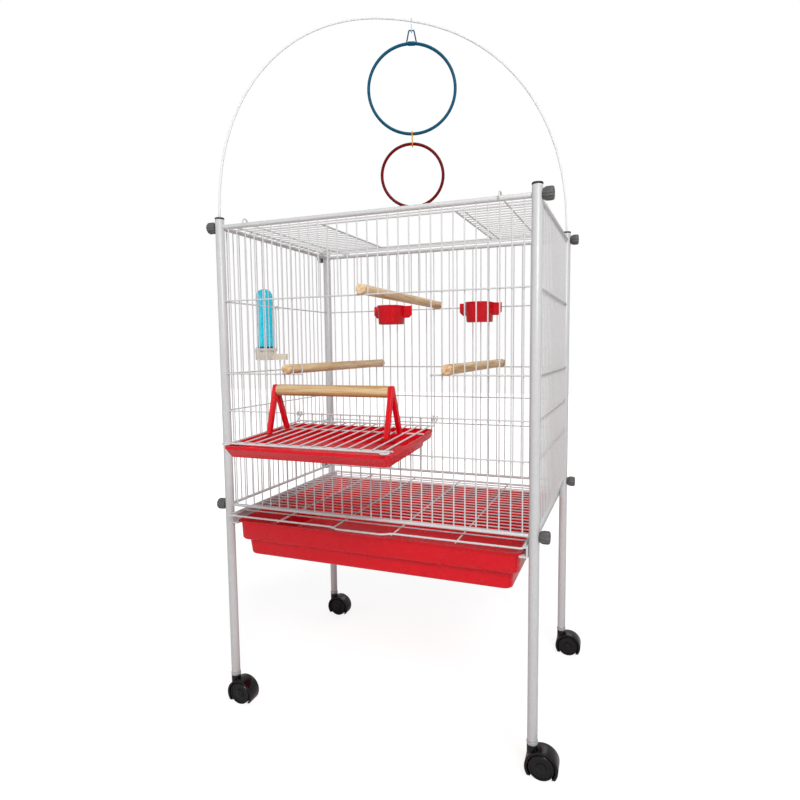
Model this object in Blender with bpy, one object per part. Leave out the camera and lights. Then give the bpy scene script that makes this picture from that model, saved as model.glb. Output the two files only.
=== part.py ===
"""Bird cage on castors with a play arch: wire panels between four tube posts.

Metres, +Z up. The front faces -Y, the door opens towards -Y.
Heights are measured from the floor, depths from the axis of the front posts.
"""
import math

import bmesh
import bpy
from mathutils import Matrix, Vector

# Clearances
GAP = 0.0003            # between two pieces that touch on the real cage
BITE = 0.0005           # how far two welded wires run into each other

# Cage proportions
PITCH = 0.017           # centre to centre of neighbouring wires
BAYS_X = 31             # gaps between wires across the front
BAYS_Y = 22             # gaps between wires along a side
WIDTH = BAYS_X * PITCH  # between post axes, left to right
DEPTH = BAYS_Y * PITCH  # between post axes, front to back

# Posts
POST_R = 0.0075
POST_BORE = 0.0065
POST_SIDES = 12
COLLAR_H = 0.006        # collar of the castor socket under the tube's end
COLLAR_R = 0.0083
CASTER_H = 0.0476       # floor to the top of the castor's hood
FOOT_Z = CASTER_H + COLLAR_H
POST_OVER = 0.013       # post's top above the top rail's axis

# Levels of the wires, above the foot of the posts
RAIL_UP = 0.781
HIGH_UP = 0.658
MID_UP = 0.535
SILL_UP = 0.471
LOW_UP = 0.413
BASE_UP = 0.306
POST_LEN = RAIL_UP + POST_OVER
POST_TOP = FOOT_Z + POST_LEN
RAIL_Z = FOOT_Z + RAIL_UP
HIGH_WIRE_Z = FOOT_Z + HIGH_UP
MID_WIRE_Z = FOOT_Z + MID_UP
SILL_WIRE_Z = FOOT_Z + SILL_UP
LOW_WIRE_Z = FOOT_Z + LOW_UP
BASE_RAIL_Z = FOOT_Z + BASE_UP

# Wires and rails
WIRE = 0.0010           # half the thickness of a grille wire
EDGE_WIRE = 0.0015      # half the thickness of a frame wire
RAIL_R = 0.0037
BASE_RAIL_R = 0.0035
RAIL_SIDES = 8
STAY_EVERY = 6          # every sixth upright is welded to the cross wires
LAYER = 2 * WIRE + GAP  # between the layers of upright and cross wires

# Door opening in the front panel, counted in bays from the left post
DOOR_FROM = 9
DOOR_TO = 22
LEAF_OVER = 0.0005      # how far the closed leaf laps the wires round the opening
LEAF_DROP = 0.0105      # the leaf's plane hangs this far off the hinge axis
LEAF_EDGE = 0.0012      # half the thickness of the leaf's frame wire
DOOR_DROOP = 3.0        # degrees below level when the leaf lies open
HINGE_RING = 0.0029     # radius of the wire eyes that turn on the sill wire
HINGE_BAR = 0.006       # from the hinge axis to the leaf's rear wire
HINGE_OUT = 0.0055      # leaf's side wire to the middle of each hinge
HINGE_SPREAD = 0.003    # middle of a hinge to its two eyes
EYE_STEPS = 10
LEAF_ROWS = 12
LEAF_CROSS_NEAR = 0.060     # cross wires under the leaf, from the hinge
LEAF_CROSS_FAR = 0.172
LATCH_R = 0.0055        # wire loops at the leaf's free corners
LATCH_OUT = 0.004       # loop's middle past the leaf's corner, sideways
LATCH_AHEAD = 0.002     # and forwards

# Catch tray, stands and perch on the door leaf
CATCH_TRAY_H = 0.0165
CATCH_TRAY_WALL = 0.0018
CATCH_TRAY_OUT = 0.009      # rim past the leaf's side wires
CATCH_TRAY_AHEAD = 0.003    # rim past the leaf's front wire
CATCH_TRAY_TAPER = 0.003    # how far the sides slope in
CATCH_TRAY_RAKE = 0.008     # how far the front slopes back
CATCH_TRAY_BACK = 0.012     # rear edge, from the hinge axis
CATCH_TRAY_STEP = 0.054     # from the hinge axis to the shallow rear part
CATCH_TRAY_REAR_H = 0.014
CATCH_TRAY_REAR_IN = 0.0035 # rear part's rim inside the main rim
STAND_X = 0.0905
STAND_T = 0.0065
STAND_Y = 0.102         # from the hinge axis to the perch
STAND_SPREAD = 0.0485   # between the feet
STAND_LEG = 0.006
STAND_APEX = 0.005      # width of the top
STAND_CROTCH = 0.006    # perch axis down to the gap between the legs
DOOR_PERCH_R = 0.008
DOOR_PERCH_Z = 0.061    # above the leaf
PIN_R = 0.002           # pins that carry the perch
PIN_LEN = 0.008
PIN_FIT = 0.0004

# Roof
ROOF_CROSS_BAY = 12.5   # bays from the middle to the hooked cross wires
ROOF_OPEN_LEFT = 6.25   # edges of the roof opening, in bays from the middle
ROOF_OPEN_RIGHT = 7.5
ROOF_OPEN_FROM = 4      # rows of wire in front of the opening
ROOF_OPEN_TO = 19
ROOF_DOUBLE_BAY = 8.4   # second wire beside the opening, right side
ROOF_SIDE_GAP = 0.0105  # post axis to the roof's side wires
ROOF_REST = 0.002       # how far the rows reach past the middle of the side rails
ROOF_HOOK_R = 0.007
ROOF_HOOK_RISE = 0.0025
ROOF_HOOK_END = -30.0   # degrees where a hook ends in front of the rail

# Floor grate
GRATE_BELOW = 0.013     # under the base rail's axis
GRATE_Z = BASE_RAIL_Z - GRATE_BELOW
GRATE_SIDE_GAP = 0.0125 # side edge to the axis of the posts
GRATE_HALF = WIDTH / 2 - GRATE_SIDE_GAP
GRATE_FRONT = -0.020
GRATE_BACK_GAP = 0.010  # rear edge to the axis of the back posts
GRATE_BACK = DEPTH - GRATE_BACK_GAP
GRATE_SEAT = 0.003      # how far the grate's rim lies over the runner's ledge
GRATE_CROSS_BAYS = (3, 9)
GRATE_PULL = 0.009      # how far the finger pull stands out
GRATE_PULL_SLANT = 0.012

# Bottom tray
TRAY_SIDE_GAP = 0.021   # side to the axis of the posts
TRAY_HALF = WIDTH / 2 - TRAY_SIDE_GAP
TRAY_FRONT = -0.004
TRAY_BACK_GAP = 0.006   # rear edge to the axis of the back posts
TRAY_BACK = DEPTH - TRAY_BACK_GAP
TRAY_BELOW = 0.013      # rim under the grate's wires
TRAY_UPPER_H = 0.033
TRAY_LOWER_H = 0.029
TRAY_TOP = GRATE_Z - TRAY_BELOW
TRAY_STEP_Z = TRAY_TOP - TRAY_UPPER_H
TRAY_BOTTOM = TRAY_STEP_Z - TRAY_LOWER_H
TRAY_RUN_GAP = 0.0005   # tray's side to the ledge under its flange
TRAY_STEP = 0.012       # how far the lower part steps in
TRAY_WALL = 0.0025
TRAY_FLANGE = 0.005
TRAY_FLANGE_T = 0.0025

# Runners that carry the tray and the grate
RUNNER_WALL = 0.0022

# Castors
WHEEL_R = 0.0195
WHEEL_IN = 0.0043       # inner face of each wheel from the middle
WHEEL_OUT = 0.0125
WHEEL_SIDES = 16
AXLE_R = 0.003
AXLE_FIT = 0.0004
WHEEL_FIT = 0.0012
HOOD_T = 0.0037
HOOD_FROM = -35.0       # degrees, behind the wheel
HOOD_TO = 215.0
HOOD_STEPS = 10
BOSS_R = 0.0080
STEM_R = 0.0045
STEM_LEN = 0.024
STEM_FIT = 0.0004
TRAIL = 0.0142          # swivel axis to axle
CASTER_YAW = 1.5        # degrees that the castors trail round from +X

# Thumb knobs
BOLT_R = 0.002
BOLT_REACH = 0.012      # into the rail's end
BOLT_BORE_R = 0.0027
KNOB_LEN = 0.0145
KNOB_R = 0.0098
KNOB_NECK_R = 0.0080
KNOB_LOBES = 6
KNOB_GROOVE = 0.86      # radius between the lobes over the radius on them

# Post caps
CAP_R = 0.0079
CAP_T = 0.003
CAP_PLUG = 0.010

# Play arch and rings
ARCH_R = 0.002
ARCH_RISE = 0.354
ARCH_POWER = 2.2        # squareness of the arch: 2 is an ellipse
ARCH_STEPS = 24
ARCH_SEAT = 0.009       # length of rod inside the cap
ARCH_FIT = 0.0004
RING_TUBE = 0.0027
BLUE_R = 0.0772
RED_R = 0.0551
RING_STEPS = 24
LINK_R = 0.0011
LINK_HALF = 0.0042      # half the width of a link, axis to axis
CLIP_REACH = 0.016      # rod axis to the top wire of the blue ring's hanger
HANGER_R = 0.0012
HANGER_H = 0.022
HANGER_HALF = 0.009
LINK_REACH = 0.0175     # blue ring's tube to red ring's tube, axis to axis
SWING_FIT = 0.0007      # room in a link for what swings in it
RING_SHIFT = 0.014      # the rings hang this far right of the arch's crown
RING_TURN = 20.0        # degrees from the cage's front to the rings' plane

# Perches inside the cage
PERCH_R = 0.008
PERCH_GROOVE_R = 0.0068
PERCH_OVER = 0.010      # past the wires at each end
PERCH_BAYS = 8          # side perches, bays from the middle
PERCH_SIDES = 12

# Food cups
CUP_LEFT_BAYS = -6.0    # bays from the middle to each cup
CUP_RIGHT_BAYS = 5.5
CUP_LEFT_HOOK_BAYS = 2.0    # bays from the cup's middle to its hooks
CUP_RIGHT_HOOK_BAYS = 1.5
CUP_R = 0.0285
CUP_OUT = 0.046         # how far the bowl stands into the cage
CUP_H = 0.040
CUP_WALL = 0.002
CUP_PLATE_W = 0.088
CUP_PLATE_H = 0.026
CUP_PLATE_T = 0.0025
CUP_ABOVE = 0.009       # top of the plate above the wire
CUP_HOOK_W = 0.005
CUP_HOOK_T = 0.0025
CUP_HOOK_DROP = 0.005
CUP_LIFT = 0.010        # how far the cup lifts before its hooks are free

# Water bottle, outside the left panel
BOTTLE_ROW = 9.5        # bays behind the front posts
BOTTLE_OUT = 0.0265     # axis to the panel's wires
BOTTLE_R = 0.0175
BOTTLE_TOP_R = 0.0155
BOTTLE_WALL = 0.0012
BOTTLE_H = 0.124
BASIN_R = 0.0205
BASIN_H = 0.023
BASIN_WALL = 0.0015
BASIN_UP = 0.555        # above the foot of the posts
BASIN_Z = FOOT_Z + BASIN_UP
BOTTLE_SEAT = 0.008     # how deep the tube stands in its basin
SPOUT_W = 0.011
SPOUT_REACH = 0.022     # past the wires, into the cage
SPOUT_H = 0.012
HOLDER_R = 0.001
HOLDER_Z = 0.0185       # hoop above the foot of the basin
BOTTLE_SIDES = 14

HINGE_Y = -LAYER
HINGE_Z = SILL_WIRE_Z
DOOR_HALF = (DOOR_TO - DOOR_FROM) * PITCH / 2
LEAF_HALF = DOOR_HALF + LEAF_OVER
LEAF_LEN = HIGH_WIRE_Z - SILL_WIRE_Z + LEAF_OVER
POST_CLEAR = POST_R + GAP


def empty_scene():
    """Remove the objects that a new file holds."""
    for item in list(bpy.data.objects):
        bpy.data.objects.remove(item, do_unlink=True)


def material(name, colour, roughness, metallic=0.0, alpha=1.0):
    """Return a named Principled material."""
    mat = bpy.data.materials.new(name)
    mat.use_nodes = True
    shader = mat.node_tree.nodes["Principled BSDF"]
    shader.inputs["Base Color"].default_value = (*colour, 1.0)
    shader.inputs["Roughness"].default_value = roughness
    shader.inputs["Metallic"].default_value = metallic
    shader.inputs["Alpha"].default_value = alpha
    return mat


def empty(name, place, parent=None, turn=(0.0, 0.0, 0.0)):
    """Add an empty that carries moving pieces on their axis."""
    item = bpy.data.objects.new(name, None)
    bpy.context.scene.collection.objects.link(item)
    item.location = place
    item.rotation_euler = [math.radians(angle) for angle in turn]
    item.parent = parent
    return item


def piece(name, bm, mat, parent, pivot=(0.0, 0.0, 0.0)):
    """Turn a bmesh into an object whose origin lies on its pivot."""
    bmesh.ops.recalc_face_normals(bm, faces=bm.faces)
    mesh = bpy.data.meshes.new(name)
    bm.to_mesh(mesh)
    bm.free()
    mesh.transform(Matrix.Translation(-Vector(pivot)))
    mesh.shade_smooth()
    mesh.set_sharp_from_angle(angle=math.radians(35))
    if mat is not None:
        mesh.materials.append(mat)
    item = bpy.data.objects.new(name, mesh)
    bpy.context.scene.collection.objects.link(item)
    item.location = pivot
    item.parent = parent
    return item


def combine(target, bm, operation):
    """Add a Boolean to target whose tool is a hidden mesh in the same frame."""
    number = len(target.modifiers)
    tool = piece(f"{target.name}.tool{number}", bm, None, target.parent)
    tool.hide_render = True
    tool.display_type = "WIRE"
    step = target.modifiers.new(f"{operation}{number}", "BOOLEAN")
    step.operation = operation
    step.solver = "EXACT"
    step.object = tool
    return target


def axis_map(axes):
    """Matrix that sends local x, y, z to the named axes, such as 'yzx'."""
    rows = [[0.0] * 3 for _ in range(3)]
    for column, letter in enumerate(axes):
        rows["xyz".index(letter)][column] = 1.0
    return Matrix(rows).to_4x4()


def prism(bm, outline, start, end, axes="xyz", at=(0.0, 0.0, 0.0)):
    """Extrude a closed outline, drawn in the first two axes, along the third."""
    place = Matrix.Translation(at) @ axis_map(axes)
    low = [bm.verts.new(place @ Vector((u, v, start))) for u, v in outline]
    high = [bm.verts.new(place @ Vector((u, v, end))) for u, v in outline]
    bm.faces.new(low)
    bm.faces.new(reversed(high))
    for index, vert in enumerate(low):
        after = (index + 1) % len(low)
        bm.faces.new((vert, low[after], high[after], high[index]))


def box(bm, low, high):
    """Add a box between two corners."""
    outline = [(low[0], low[1]), (high[0], low[1]), (high[0], high[1]), (low[0], high[1])]
    prism(bm, outline, low[2], high[2])


def polygon(sides, radius, flat=True, centre=(0.0, 0.0)):
    """Corners of a regular polygon with a flat or a corner pointing down."""
    first = -math.pi / 2 + (math.pi / sides if flat else 0.0)
    angles = [first + 2 * math.pi * n / sides for n in range(sides)]
    return [(centre[0] + radius * math.cos(a), centre[1] + radius * math.sin(a)) for a in angles]


def arc(radius, start, end, steps, centre=(0.0, 0.0)):
    """Points on an arc, angles in degrees."""
    angles = [math.radians(start + (end - start) * n / steps) for n in range(steps + 1)]
    return [(centre[0] + radius * math.cos(a), centre[1] + radius * math.sin(a)) for a in angles]


def turned(bm, profile, sides, axes="xyz", at=(0.0, 0.0, 0.0), ripple=None, hollow=False):
    """Turn (radius, height) points about the third axis.

    A hollow profile is a closed loop. ripple gives each side's share of the radius.
    """
    place = Matrix.Translation(at) @ axis_map(axes)
    ripple = ripple or [1.0] * sides
    rings = []
    for radius, height in profile:
        if radius == 0.0:
            rings.append([bm.verts.new(place @ Vector((0.0, 0.0, height)))])
            continue
        ring = []
        for number, share in enumerate(ripple):
            angle = 2 * math.pi * (number + 0.5) / sides - math.pi / 2
            spot = Vector((radius * share * math.cos(angle), radius * share * math.sin(angle), height))
            ring.append(bm.verts.new(place @ spot))
        rings.append(ring)
    pairs = list(zip(rings, rings[1:] + rings[:1])) if hollow else list(zip(rings, rings[1:]))
    for one, two in pairs:
        for number in range(sides):
            after = (number + 1) % sides
            corners = [one[number % len(one)], one[after % len(one)],
                       two[after % len(two)], two[number % len(two)]]
            bm.faces.new(list(dict.fromkeys(corners)))


def sweep(bm, path, radius, normal, sides=4, closed=False):
    """Run a wire along a flat path; radius is half the thickness of a square one."""
    normal = Vector(normal).normalized()
    path = [Vector(point) for point in path]
    corner = radius * math.sqrt(2) if sides == 4 else radius
    rings = []
    for index, point in enumerate(path):
        before = path[index - 1] if closed or index else point
        after = path[(index + 1) % len(path)] if closed or index + 1 < len(path) else point
        along_in = (point - before).normalized()
        along_out = (after - point).normalized()
        along = (along_in + along_out).normalized()
        straight = along.dot(along_out if along_out.length else along_in)
        side = along.cross(normal) / max(straight, 0.5)
        ring = []
        for number in range(sides):
            angle = 2 * math.pi * (number + 0.5) / sides
            ring.append(bm.verts.new(point + corner * (math.cos(angle) * normal + math.sin(angle) * side)))
        rings.append(ring)
    pairs = list(zip(rings, rings[1:] + rings[:1])) if closed else list(zip(rings, rings[1:]))
    for one, two in pairs:
        for number in range(sides):
            after = (number + 1) % sides
            bm.faces.new((one[number], one[after], two[after], two[number]))
    if not closed:
        bm.faces.new(rings[0])
        bm.faces.new(rings[-1])


def bay_x(count):
    """X of a place counted in bays from the middle."""
    return count * PITCH


def corners():
    """The four posts: name, x and y."""
    for row, y in (("front", 0.0), ("back", DEPTH)):
        for side, x in (("left", -WIDTH / 2), ("right", WIDTH / 2)):
            yield f"{row}_{side}", x, y


def add_posts(root, steel, plastic, grey):
    """Tube posts, their top caps and the sockets that hold the castors."""
    for name, x, y in corners():
        bm = bmesh.new()
        shell = [(POST_R, FOOT_Z), (POST_R, POST_TOP), (POST_BORE, POST_TOP), (POST_BORE, FOOT_Z)]
        turned(bm, shell, POST_SIDES, at=(x, y, 0.0), hollow=True)
        post = piece(f"post_{name}", bm, steel, root)
        holes = bmesh.new()
        for level in (RAIL_Z, BASE_RAIL_Z):
            turned(holes, [(0, -CAP_R), (BOLT_BORE_R, -CAP_R), (BOLT_BORE_R, CAP_R), (0, CAP_R)],
                   RAIL_SIDES, "yzx", (x, y, level))
        combine(post, holes, "DIFFERENCE")

        plug = POST_BORE - GAP
        seat = POST_TOP + GAP
        bm = bmesh.new()
        turned(bm, [(0, seat - CAP_PLUG), (plug, seat - CAP_PLUG), (plug, seat), (CAP_R, seat),
                    (CAP_R, seat + CAP_T), (0, seat + CAP_T)], POST_SIDES, at=(x, y, 0.0))
        cap = piece(f"cap_{name}", bm, plastic, root)
        if name in ("front_left", "back_right"):
            bore = bmesh.new()
            top = seat + CAP_T
            turned(bore, [(0, top - ARCH_SEAT - GAP), (ARCH_R + ARCH_FIT, top - ARCH_SEAT - GAP),
                          (ARCH_R + ARCH_FIT, top + GAP), (0, top + GAP)], RAIL_SIDES, at=(x, y, 0.0))
            combine(cap, bore, "DIFFERENCE")

        bm = bmesh.new()
        inner = STEM_R + STEM_FIT
        turned(bm, [(COLLAR_R, CASTER_H + GAP), (COLLAR_R, FOOT_Z - GAP), (plug, FOOT_Z - GAP),
                    (plug, FOOT_Z + STEM_LEN), (inner, FOOT_Z + STEM_LEN), (inner, CASTER_H + GAP)],
               POST_SIDES, at=(x, y, 0.0), hollow=True)
        piece(f"socket_{name}", bm, grey, root)


def add_casters(root, black):
    """Twin-wheel castors: a hooded yoke on a stem, and a pair of wheels on one axle."""
    for name, x, y in corners():
        swivel = empty(f"swivel_{name}", (x, y, 0.0), root, (0.0, 0.0, CASTER_YAW))
        hub = (TRAIL, WHEEL_R)
        hood_r = WHEEL_R + WHEEL_FIT + HOOD_T
        bm = bmesh.new()
        prism(bm, arc(hood_r, HOOD_FROM, HOOD_TO, HOOD_STEPS, hub), -WHEEL_OUT, WHEEL_OUT, "xzy")
        yoke = piece(f"yoke_{name}", bm, black, swivel)
        stem = bmesh.new()
        turned(stem, [(0, WHEEL_R), (BOSS_R, WHEEL_R), (BOSS_R, CASTER_H), (STEM_R, CASTER_H),
                      (STEM_R, CASTER_H + STEM_LEN), (0, CASTER_H + STEM_LEN)], POST_SIDES)
        combine(yoke, stem, "UNION")
        wells = bmesh.new()
        well_r = (WHEEL_R + WHEEL_FIT) / math.cos(math.pi / WHEEL_SIDES)
        web = WHEEL_IN - GAP
        for low, high in ((-2 * WHEEL_OUT, -web), (web, 2 * WHEEL_OUT)):
            turned(wells, [(0, low), (well_r, low), (well_r, high), (0, high)], WHEEL_SIDES, "xzy",
                   (TRAIL, 0.0, WHEEL_R))
        combine(yoke, wells, "DIFFERENCE")
        eye = bmesh.new()
        eye_r = AXLE_R + AXLE_FIT
        turned(eye, [(0, -2 * web), (eye_r, -2 * web), (eye_r, 2 * web), (0, 2 * web)], POST_SIDES, "xzy",
               (TRAIL, 0.0, WHEEL_R))
        combine(yoke, eye, "DIFFERENCE")

        bm = bmesh.new()
        rim = WHEEL_R / math.cos(math.pi / WHEEL_SIDES)
        turned(bm, [(0, -WHEEL_OUT), (rim, -WHEEL_OUT), (rim, -WHEEL_IN), (AXLE_R, -WHEEL_IN),
                    (AXLE_R, WHEEL_IN), (rim, WHEEL_IN), (rim, WHEEL_OUT), (0, WHEEL_OUT)],
               WHEEL_SIDES, "xzy", (TRAIL, 0.0, WHEEL_R))
        piece(f"wheels_{name}", bm, black, swivel, (TRAIL, 0.0, WHEEL_R))


def add_knobs(root, black):
    """Thumb knobs whose bolts run through the posts into the rails' ends."""
    ripple = [1.0 if n % 2 else KNOB_GROOVE for n in range(2 * KNOB_LOBES)]
    for name, x, y in corners():
        out = math.copysign(1.0, x)
        for level_name, level in (("top", RAIL_Z), ("base", BASE_RAIL_Z)):
            start = out * (POST_R + GAP)
            bm = bmesh.new()
            turned(bm, [(0, start), (KNOB_NECK_R, start), (KNOB_R, start + out * KNOB_LEN * 0.75),
                        (KNOB_R * 0.85, start + out * KNOB_LEN), (0, start + out * KNOB_LEN)],
                   2 * KNOB_LOBES, "yzx", (x, y, level), ripple)
            knob = piece(f"knob_{level_name}_{name}", bm, black, root, (x, y, level))
            bolt = bmesh.new()
            tip = -out * (POST_CLEAR + BOLT_REACH)
            turned(bolt, [(0, tip), (BOLT_R, tip), (BOLT_R, start + out * BITE), (0, start + out * BITE)],
                   RAIL_SIDES, "yzx", (x, y, level))
            combine(knob, bolt, "UNION")


def add_panel(name, root, steel, bays, place, bored, door=False):
    """One wire panel between two posts, with a rail along its top and its foot.

    place sends local x (along), y (outwards) and z to the cage's axes.
    """
    half = bays * PITCH / 2 - POST_CLEAR
    rail_face = RAIL_Z - RAIL_R * math.cos(math.pi / RAIL_SIDES) + BITE
    base_face = BASE_RAIL_Z + BASE_RAIL_R * math.cos(math.pi / RAIL_SIDES) - BITE
    deep = WIRE + GAP + BITE

    def upright(bm, x, low, high, stay):
        box(bm, (x - WIRE, -WIRE, low), (x + WIRE, deep if stay else WIRE, high))

    def cross(bm, low, high, level):
        box(bm, (low, LAYER - WIRE, level - WIRE), (high, LAYER + WIRE, level + WIRE))

    bm = bmesh.new()
    for number in range(1, bays):
        x = (number - bays / 2) * PITCH
        stay = number in (1, bays - 1) or number % STAY_EVERY == 0
        if door and DOOR_FROM < number < DOOR_TO:
            upright(bm, x, base_face, SILL_WIRE_Z + WIRE / 2, True)
            upright(bm, x, HIGH_WIRE_Z - WIRE / 2, rail_face, True)
        else:
            beside_door = door and number in (DOOR_FROM, DOOR_TO)
            upright(bm, x, base_face, rail_face, stay or beside_door)
    bmesh.ops.transform(bm, matrix=place, verts=bm.verts)
    panel = piece(name, bm, steel, root)

    bars = bmesh.new()
    for level in (HIGH_WIRE_Z, SILL_WIRE_Z, LOW_WIRE_Z):
        cross(bars, -half, half, level)
    if door:
        cross(bars, -half, -DOOR_HALF + WIRE, MID_WIRE_Z)
        cross(bars, DOOR_HALF - WIRE, half, MID_WIRE_Z)
    else:
        cross(bars, -half, half, MID_WIRE_Z)
    prism(bars, polygon(RAIL_SIDES, RAIL_R, centre=(0.0, RAIL_Z)), -half, half, "yzx")
    prism(bars, polygon(RAIL_SIDES, BASE_RAIL_R, centre=(0.0, BASE_RAIL_Z)), -half, half, "yzx")
    bmesh.ops.transform(bars, matrix=place, verts=bars.verts)
    combine(panel, bars, "UNION")

    if bored:
        bores = bmesh.new()
        for level in (RAIL_Z, BASE_RAIL_Z):
            for end in (-1, 1):
                mouth = end * (half + GAP)
                floor = end * (half - BOLT_REACH - 4 * GAP)
                turned(bores, [(0, mouth), (BOLT_BORE_R, mouth), (BOLT_BORE_R, floor), (0, floor)],
                       RAIL_SIDES, "yzx", (0.0, 0.0, level))
        bmesh.ops.transform(bores, matrix=place, verts=bores.verts)
        combine(panel, bores, "DIFFERENCE")
    return panel


def add_panels(root, steel):
    """Front, back and side panels; the cross wires lie outside the uprights."""
    front = Matrix(((1, 0, 0, 0), (0, -1, 0, 0), (0, 0, 1, 0), (0, 0, 0, 1)))
    back = Matrix(((1, 0, 0, 0), (0, 1, 0, DEPTH), (0, 0, 1, 0), (0, 0, 0, 1)))
    left = Matrix(((0, -1, 0, -WIDTH / 2), (1, 0, 0, DEPTH / 2), (0, 0, 1, 0), (0, 0, 0, 1)))
    right = Matrix(((0, 1, 0, WIDTH / 2), (1, 0, 0, DEPTH / 2), (0, 0, 1, 0), (0, 0, 0, 1)))
    add_panel("front_panel", root, steel, BAYS_X, front, True, door=True)
    add_panel("back_panel", root, steel, BAYS_X, back, True)
    add_panel("left_panel", root, steel, BAYS_Y, left, False)
    add_panel("right_panel", root, steel, BAYS_Y, right, False)


def add_roof(root, steel):
    """Roof grille with its opening, hooked over the front and back rails."""
    row_z = RAIL_Z + RAIL_R * math.cos(math.pi / RAIL_SIDES) + GAP + WIRE
    low_z = row_z - LAYER
    side = WIDTH / 2 - ROOF_SIDE_GAP
    rest = WIDTH / 2 + ROOF_REST
    left, right = -bay_x(ROOF_OPEN_LEFT), bay_x(ROOF_OPEN_RIGHT)
    open_front = ROOF_OPEN_FROM * PITCH
    open_back = ROOF_OPEN_TO * PITCH
    first, last = 1, BAYS_Y - 1

    rows = bmesh.new()
    for number in range(first, last + 1):
        y = number * PITCH
        thick = number in (ROOF_OPEN_FROM, ROOF_OPEN_TO)
        half = EDGE_WIRE if thick else WIRE
        weld = thick or number in (first, last)
        foot = row_z - (WIRE + GAP + BITE if weld else half)
        reach = side if weld else rest
        if ROOF_OPEN_FROM < number < ROOF_OPEN_TO:
            spans = ((-reach, left), (right, reach))
        else:
            spans = ((-reach, reach),)
        for start, end in spans:
            box(rows, (start, y - half, foot), (end, y + half, row_z + half))
    roof = piece("roof_panel", rows, steel, root)

    frames = bmesh.new()
    reach = EDGE_WIRE + WIRE
    for x in (-side, side):
        box(frames, (x - EDGE_WIRE, first * PITCH - reach, row_z - EDGE_WIRE),
            (x + EDGE_WIRE, last * PITCH + reach, row_z + EDGE_WIRE))
    for x in (left, right):
        box(frames, (x - EDGE_WIRE, open_front, row_z - EDGE_WIRE + GAP),
            (x + EDGE_WIRE, open_back, row_z + EDGE_WIRE - GAP))
    combine(roof, frames, "UNION")

    cross = bmesh.new()
    start = math.degrees(math.asin((low_z - RAIL_Z - ROOF_HOOK_RISE) / ROOF_HOOK_R))
    hook = arc(ROOF_HOOK_R, 180 - ROOF_HOOK_END, start, 8, (0.0, RAIL_Z + ROOF_HOOK_RISE))
    for x in (-bay_x(ROOF_CROSS_BAY), bay_x(ROOF_CROSS_BAY)):
        path = [(x, y, z) for y, z in hook]
        path += [(x, DEPTH - y, z) for y, z in reversed(hook)]
        sweep(cross, path, WIRE, (1, 0, 0))
    x = bay_x(ROOF_DOUBLE_BAY)
    box(cross, (x - WIRE, open_front - reach, low_z - WIRE), (x + WIRE, open_back + reach, low_z + WIRE))
    combine(roof, cross, "UNION")


def grate_edge():
    """Outline of the grate's edge wire, with the finger pull in its front."""
    pull = bay_x(GRATE_CROSS_BAYS[0])
    inner = pull - GRATE_PULL_SLANT
    front = [(-GRATE_HALF, GRATE_FRONT), (-pull, GRATE_FRONT), (-inner, GRATE_FRONT - GRATE_PULL),
             (inner, GRATE_FRONT - GRATE_PULL), (pull, GRATE_FRONT), (GRATE_HALF, GRATE_FRONT)]
    return front + [(GRATE_HALF, GRATE_BACK), (-GRATE_HALF, GRATE_BACK)]


def add_grate(root, steel):
    """Pull-out floor grate."""
    rows = bmesh.new()
    first, last = 1, BAYS_Y - 1
    for number in range(first, last + 1):
        y = number * PITCH
        weld = number in (first, last) or number % STAY_EVERY == 0
        foot = GRATE_Z - (WIRE + GAP + BITE if weld else WIRE)
        box(rows, (-GRATE_HALF, y - WIRE, foot), (GRATE_HALF, y + WIRE, GRATE_Z + WIRE))
    grate = piece("floor_grate", rows, steel, root)
    rim = bmesh.new()
    sweep(rim, [(x, y, GRATE_Z) for x, y in grate_edge()], EDGE_WIRE, (0, 0, 1), closed=True)
    combine(grate, rim, "UNION")
    cross = bmesh.new()
    for count in GRATE_CROSS_BAYS:
        for x in (-bay_x(count), bay_x(count)):
            box(cross, (x - WIRE, GRATE_FRONT, GRATE_Z - LAYER - WIRE),
                (x + WIRE, GRATE_BACK, GRATE_Z - LAYER + WIRE))
    combine(grate, cross, "UNION")


def add_tray(root, red):
    """Drawer tray with a stepped body and a flange that slides on the runners."""
    flange = TRAY_HALF + TRAY_FLANGE
    low_half = TRAY_HALF - TRAY_STEP
    bm = bmesh.new()
    box(bm, (-TRAY_HALF, TRAY_FRONT, TRAY_STEP_Z), (TRAY_HALF, TRAY_BACK, TRAY_TOP))
    tray = piece("bottom_tray", bm, red, root)
    body = bmesh.new()
    box(body, (-low_half, TRAY_FRONT + TRAY_STEP, TRAY_BOTTOM),
        (low_half, TRAY_BACK - TRAY_STEP, TRAY_TOP - TRAY_FLANGE_T))
    combine(tray, body, "UNION")
    lip = bmesh.new()
    box(lip, (-flange, TRAY_FRONT - TRAY_FLANGE_T, TRAY_TOP - TRAY_FLANGE_T), (flange, TRAY_BACK, TRAY_TOP + GAP))
    combine(tray, lip, "UNION")
    upper = bmesh.new()
    box(upper, (-TRAY_HALF + TRAY_WALL, TRAY_FRONT + TRAY_WALL, TRAY_STEP_Z + TRAY_WALL),
        (TRAY_HALF - TRAY_WALL, TRAY_BACK - TRAY_WALL, TRAY_TOP + TRAY_WALL))
    combine(tray, upper, "DIFFERENCE")
    lower = bmesh.new()
    box(lower, (-low_half + TRAY_WALL, TRAY_FRONT + TRAY_STEP + TRAY_WALL, TRAY_BOTTOM + TRAY_WALL),
        (low_half - TRAY_WALL, TRAY_BACK - TRAY_STEP - TRAY_WALL, TRAY_TOP))
    combine(tray, lower, "DIFFERENCE")


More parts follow.
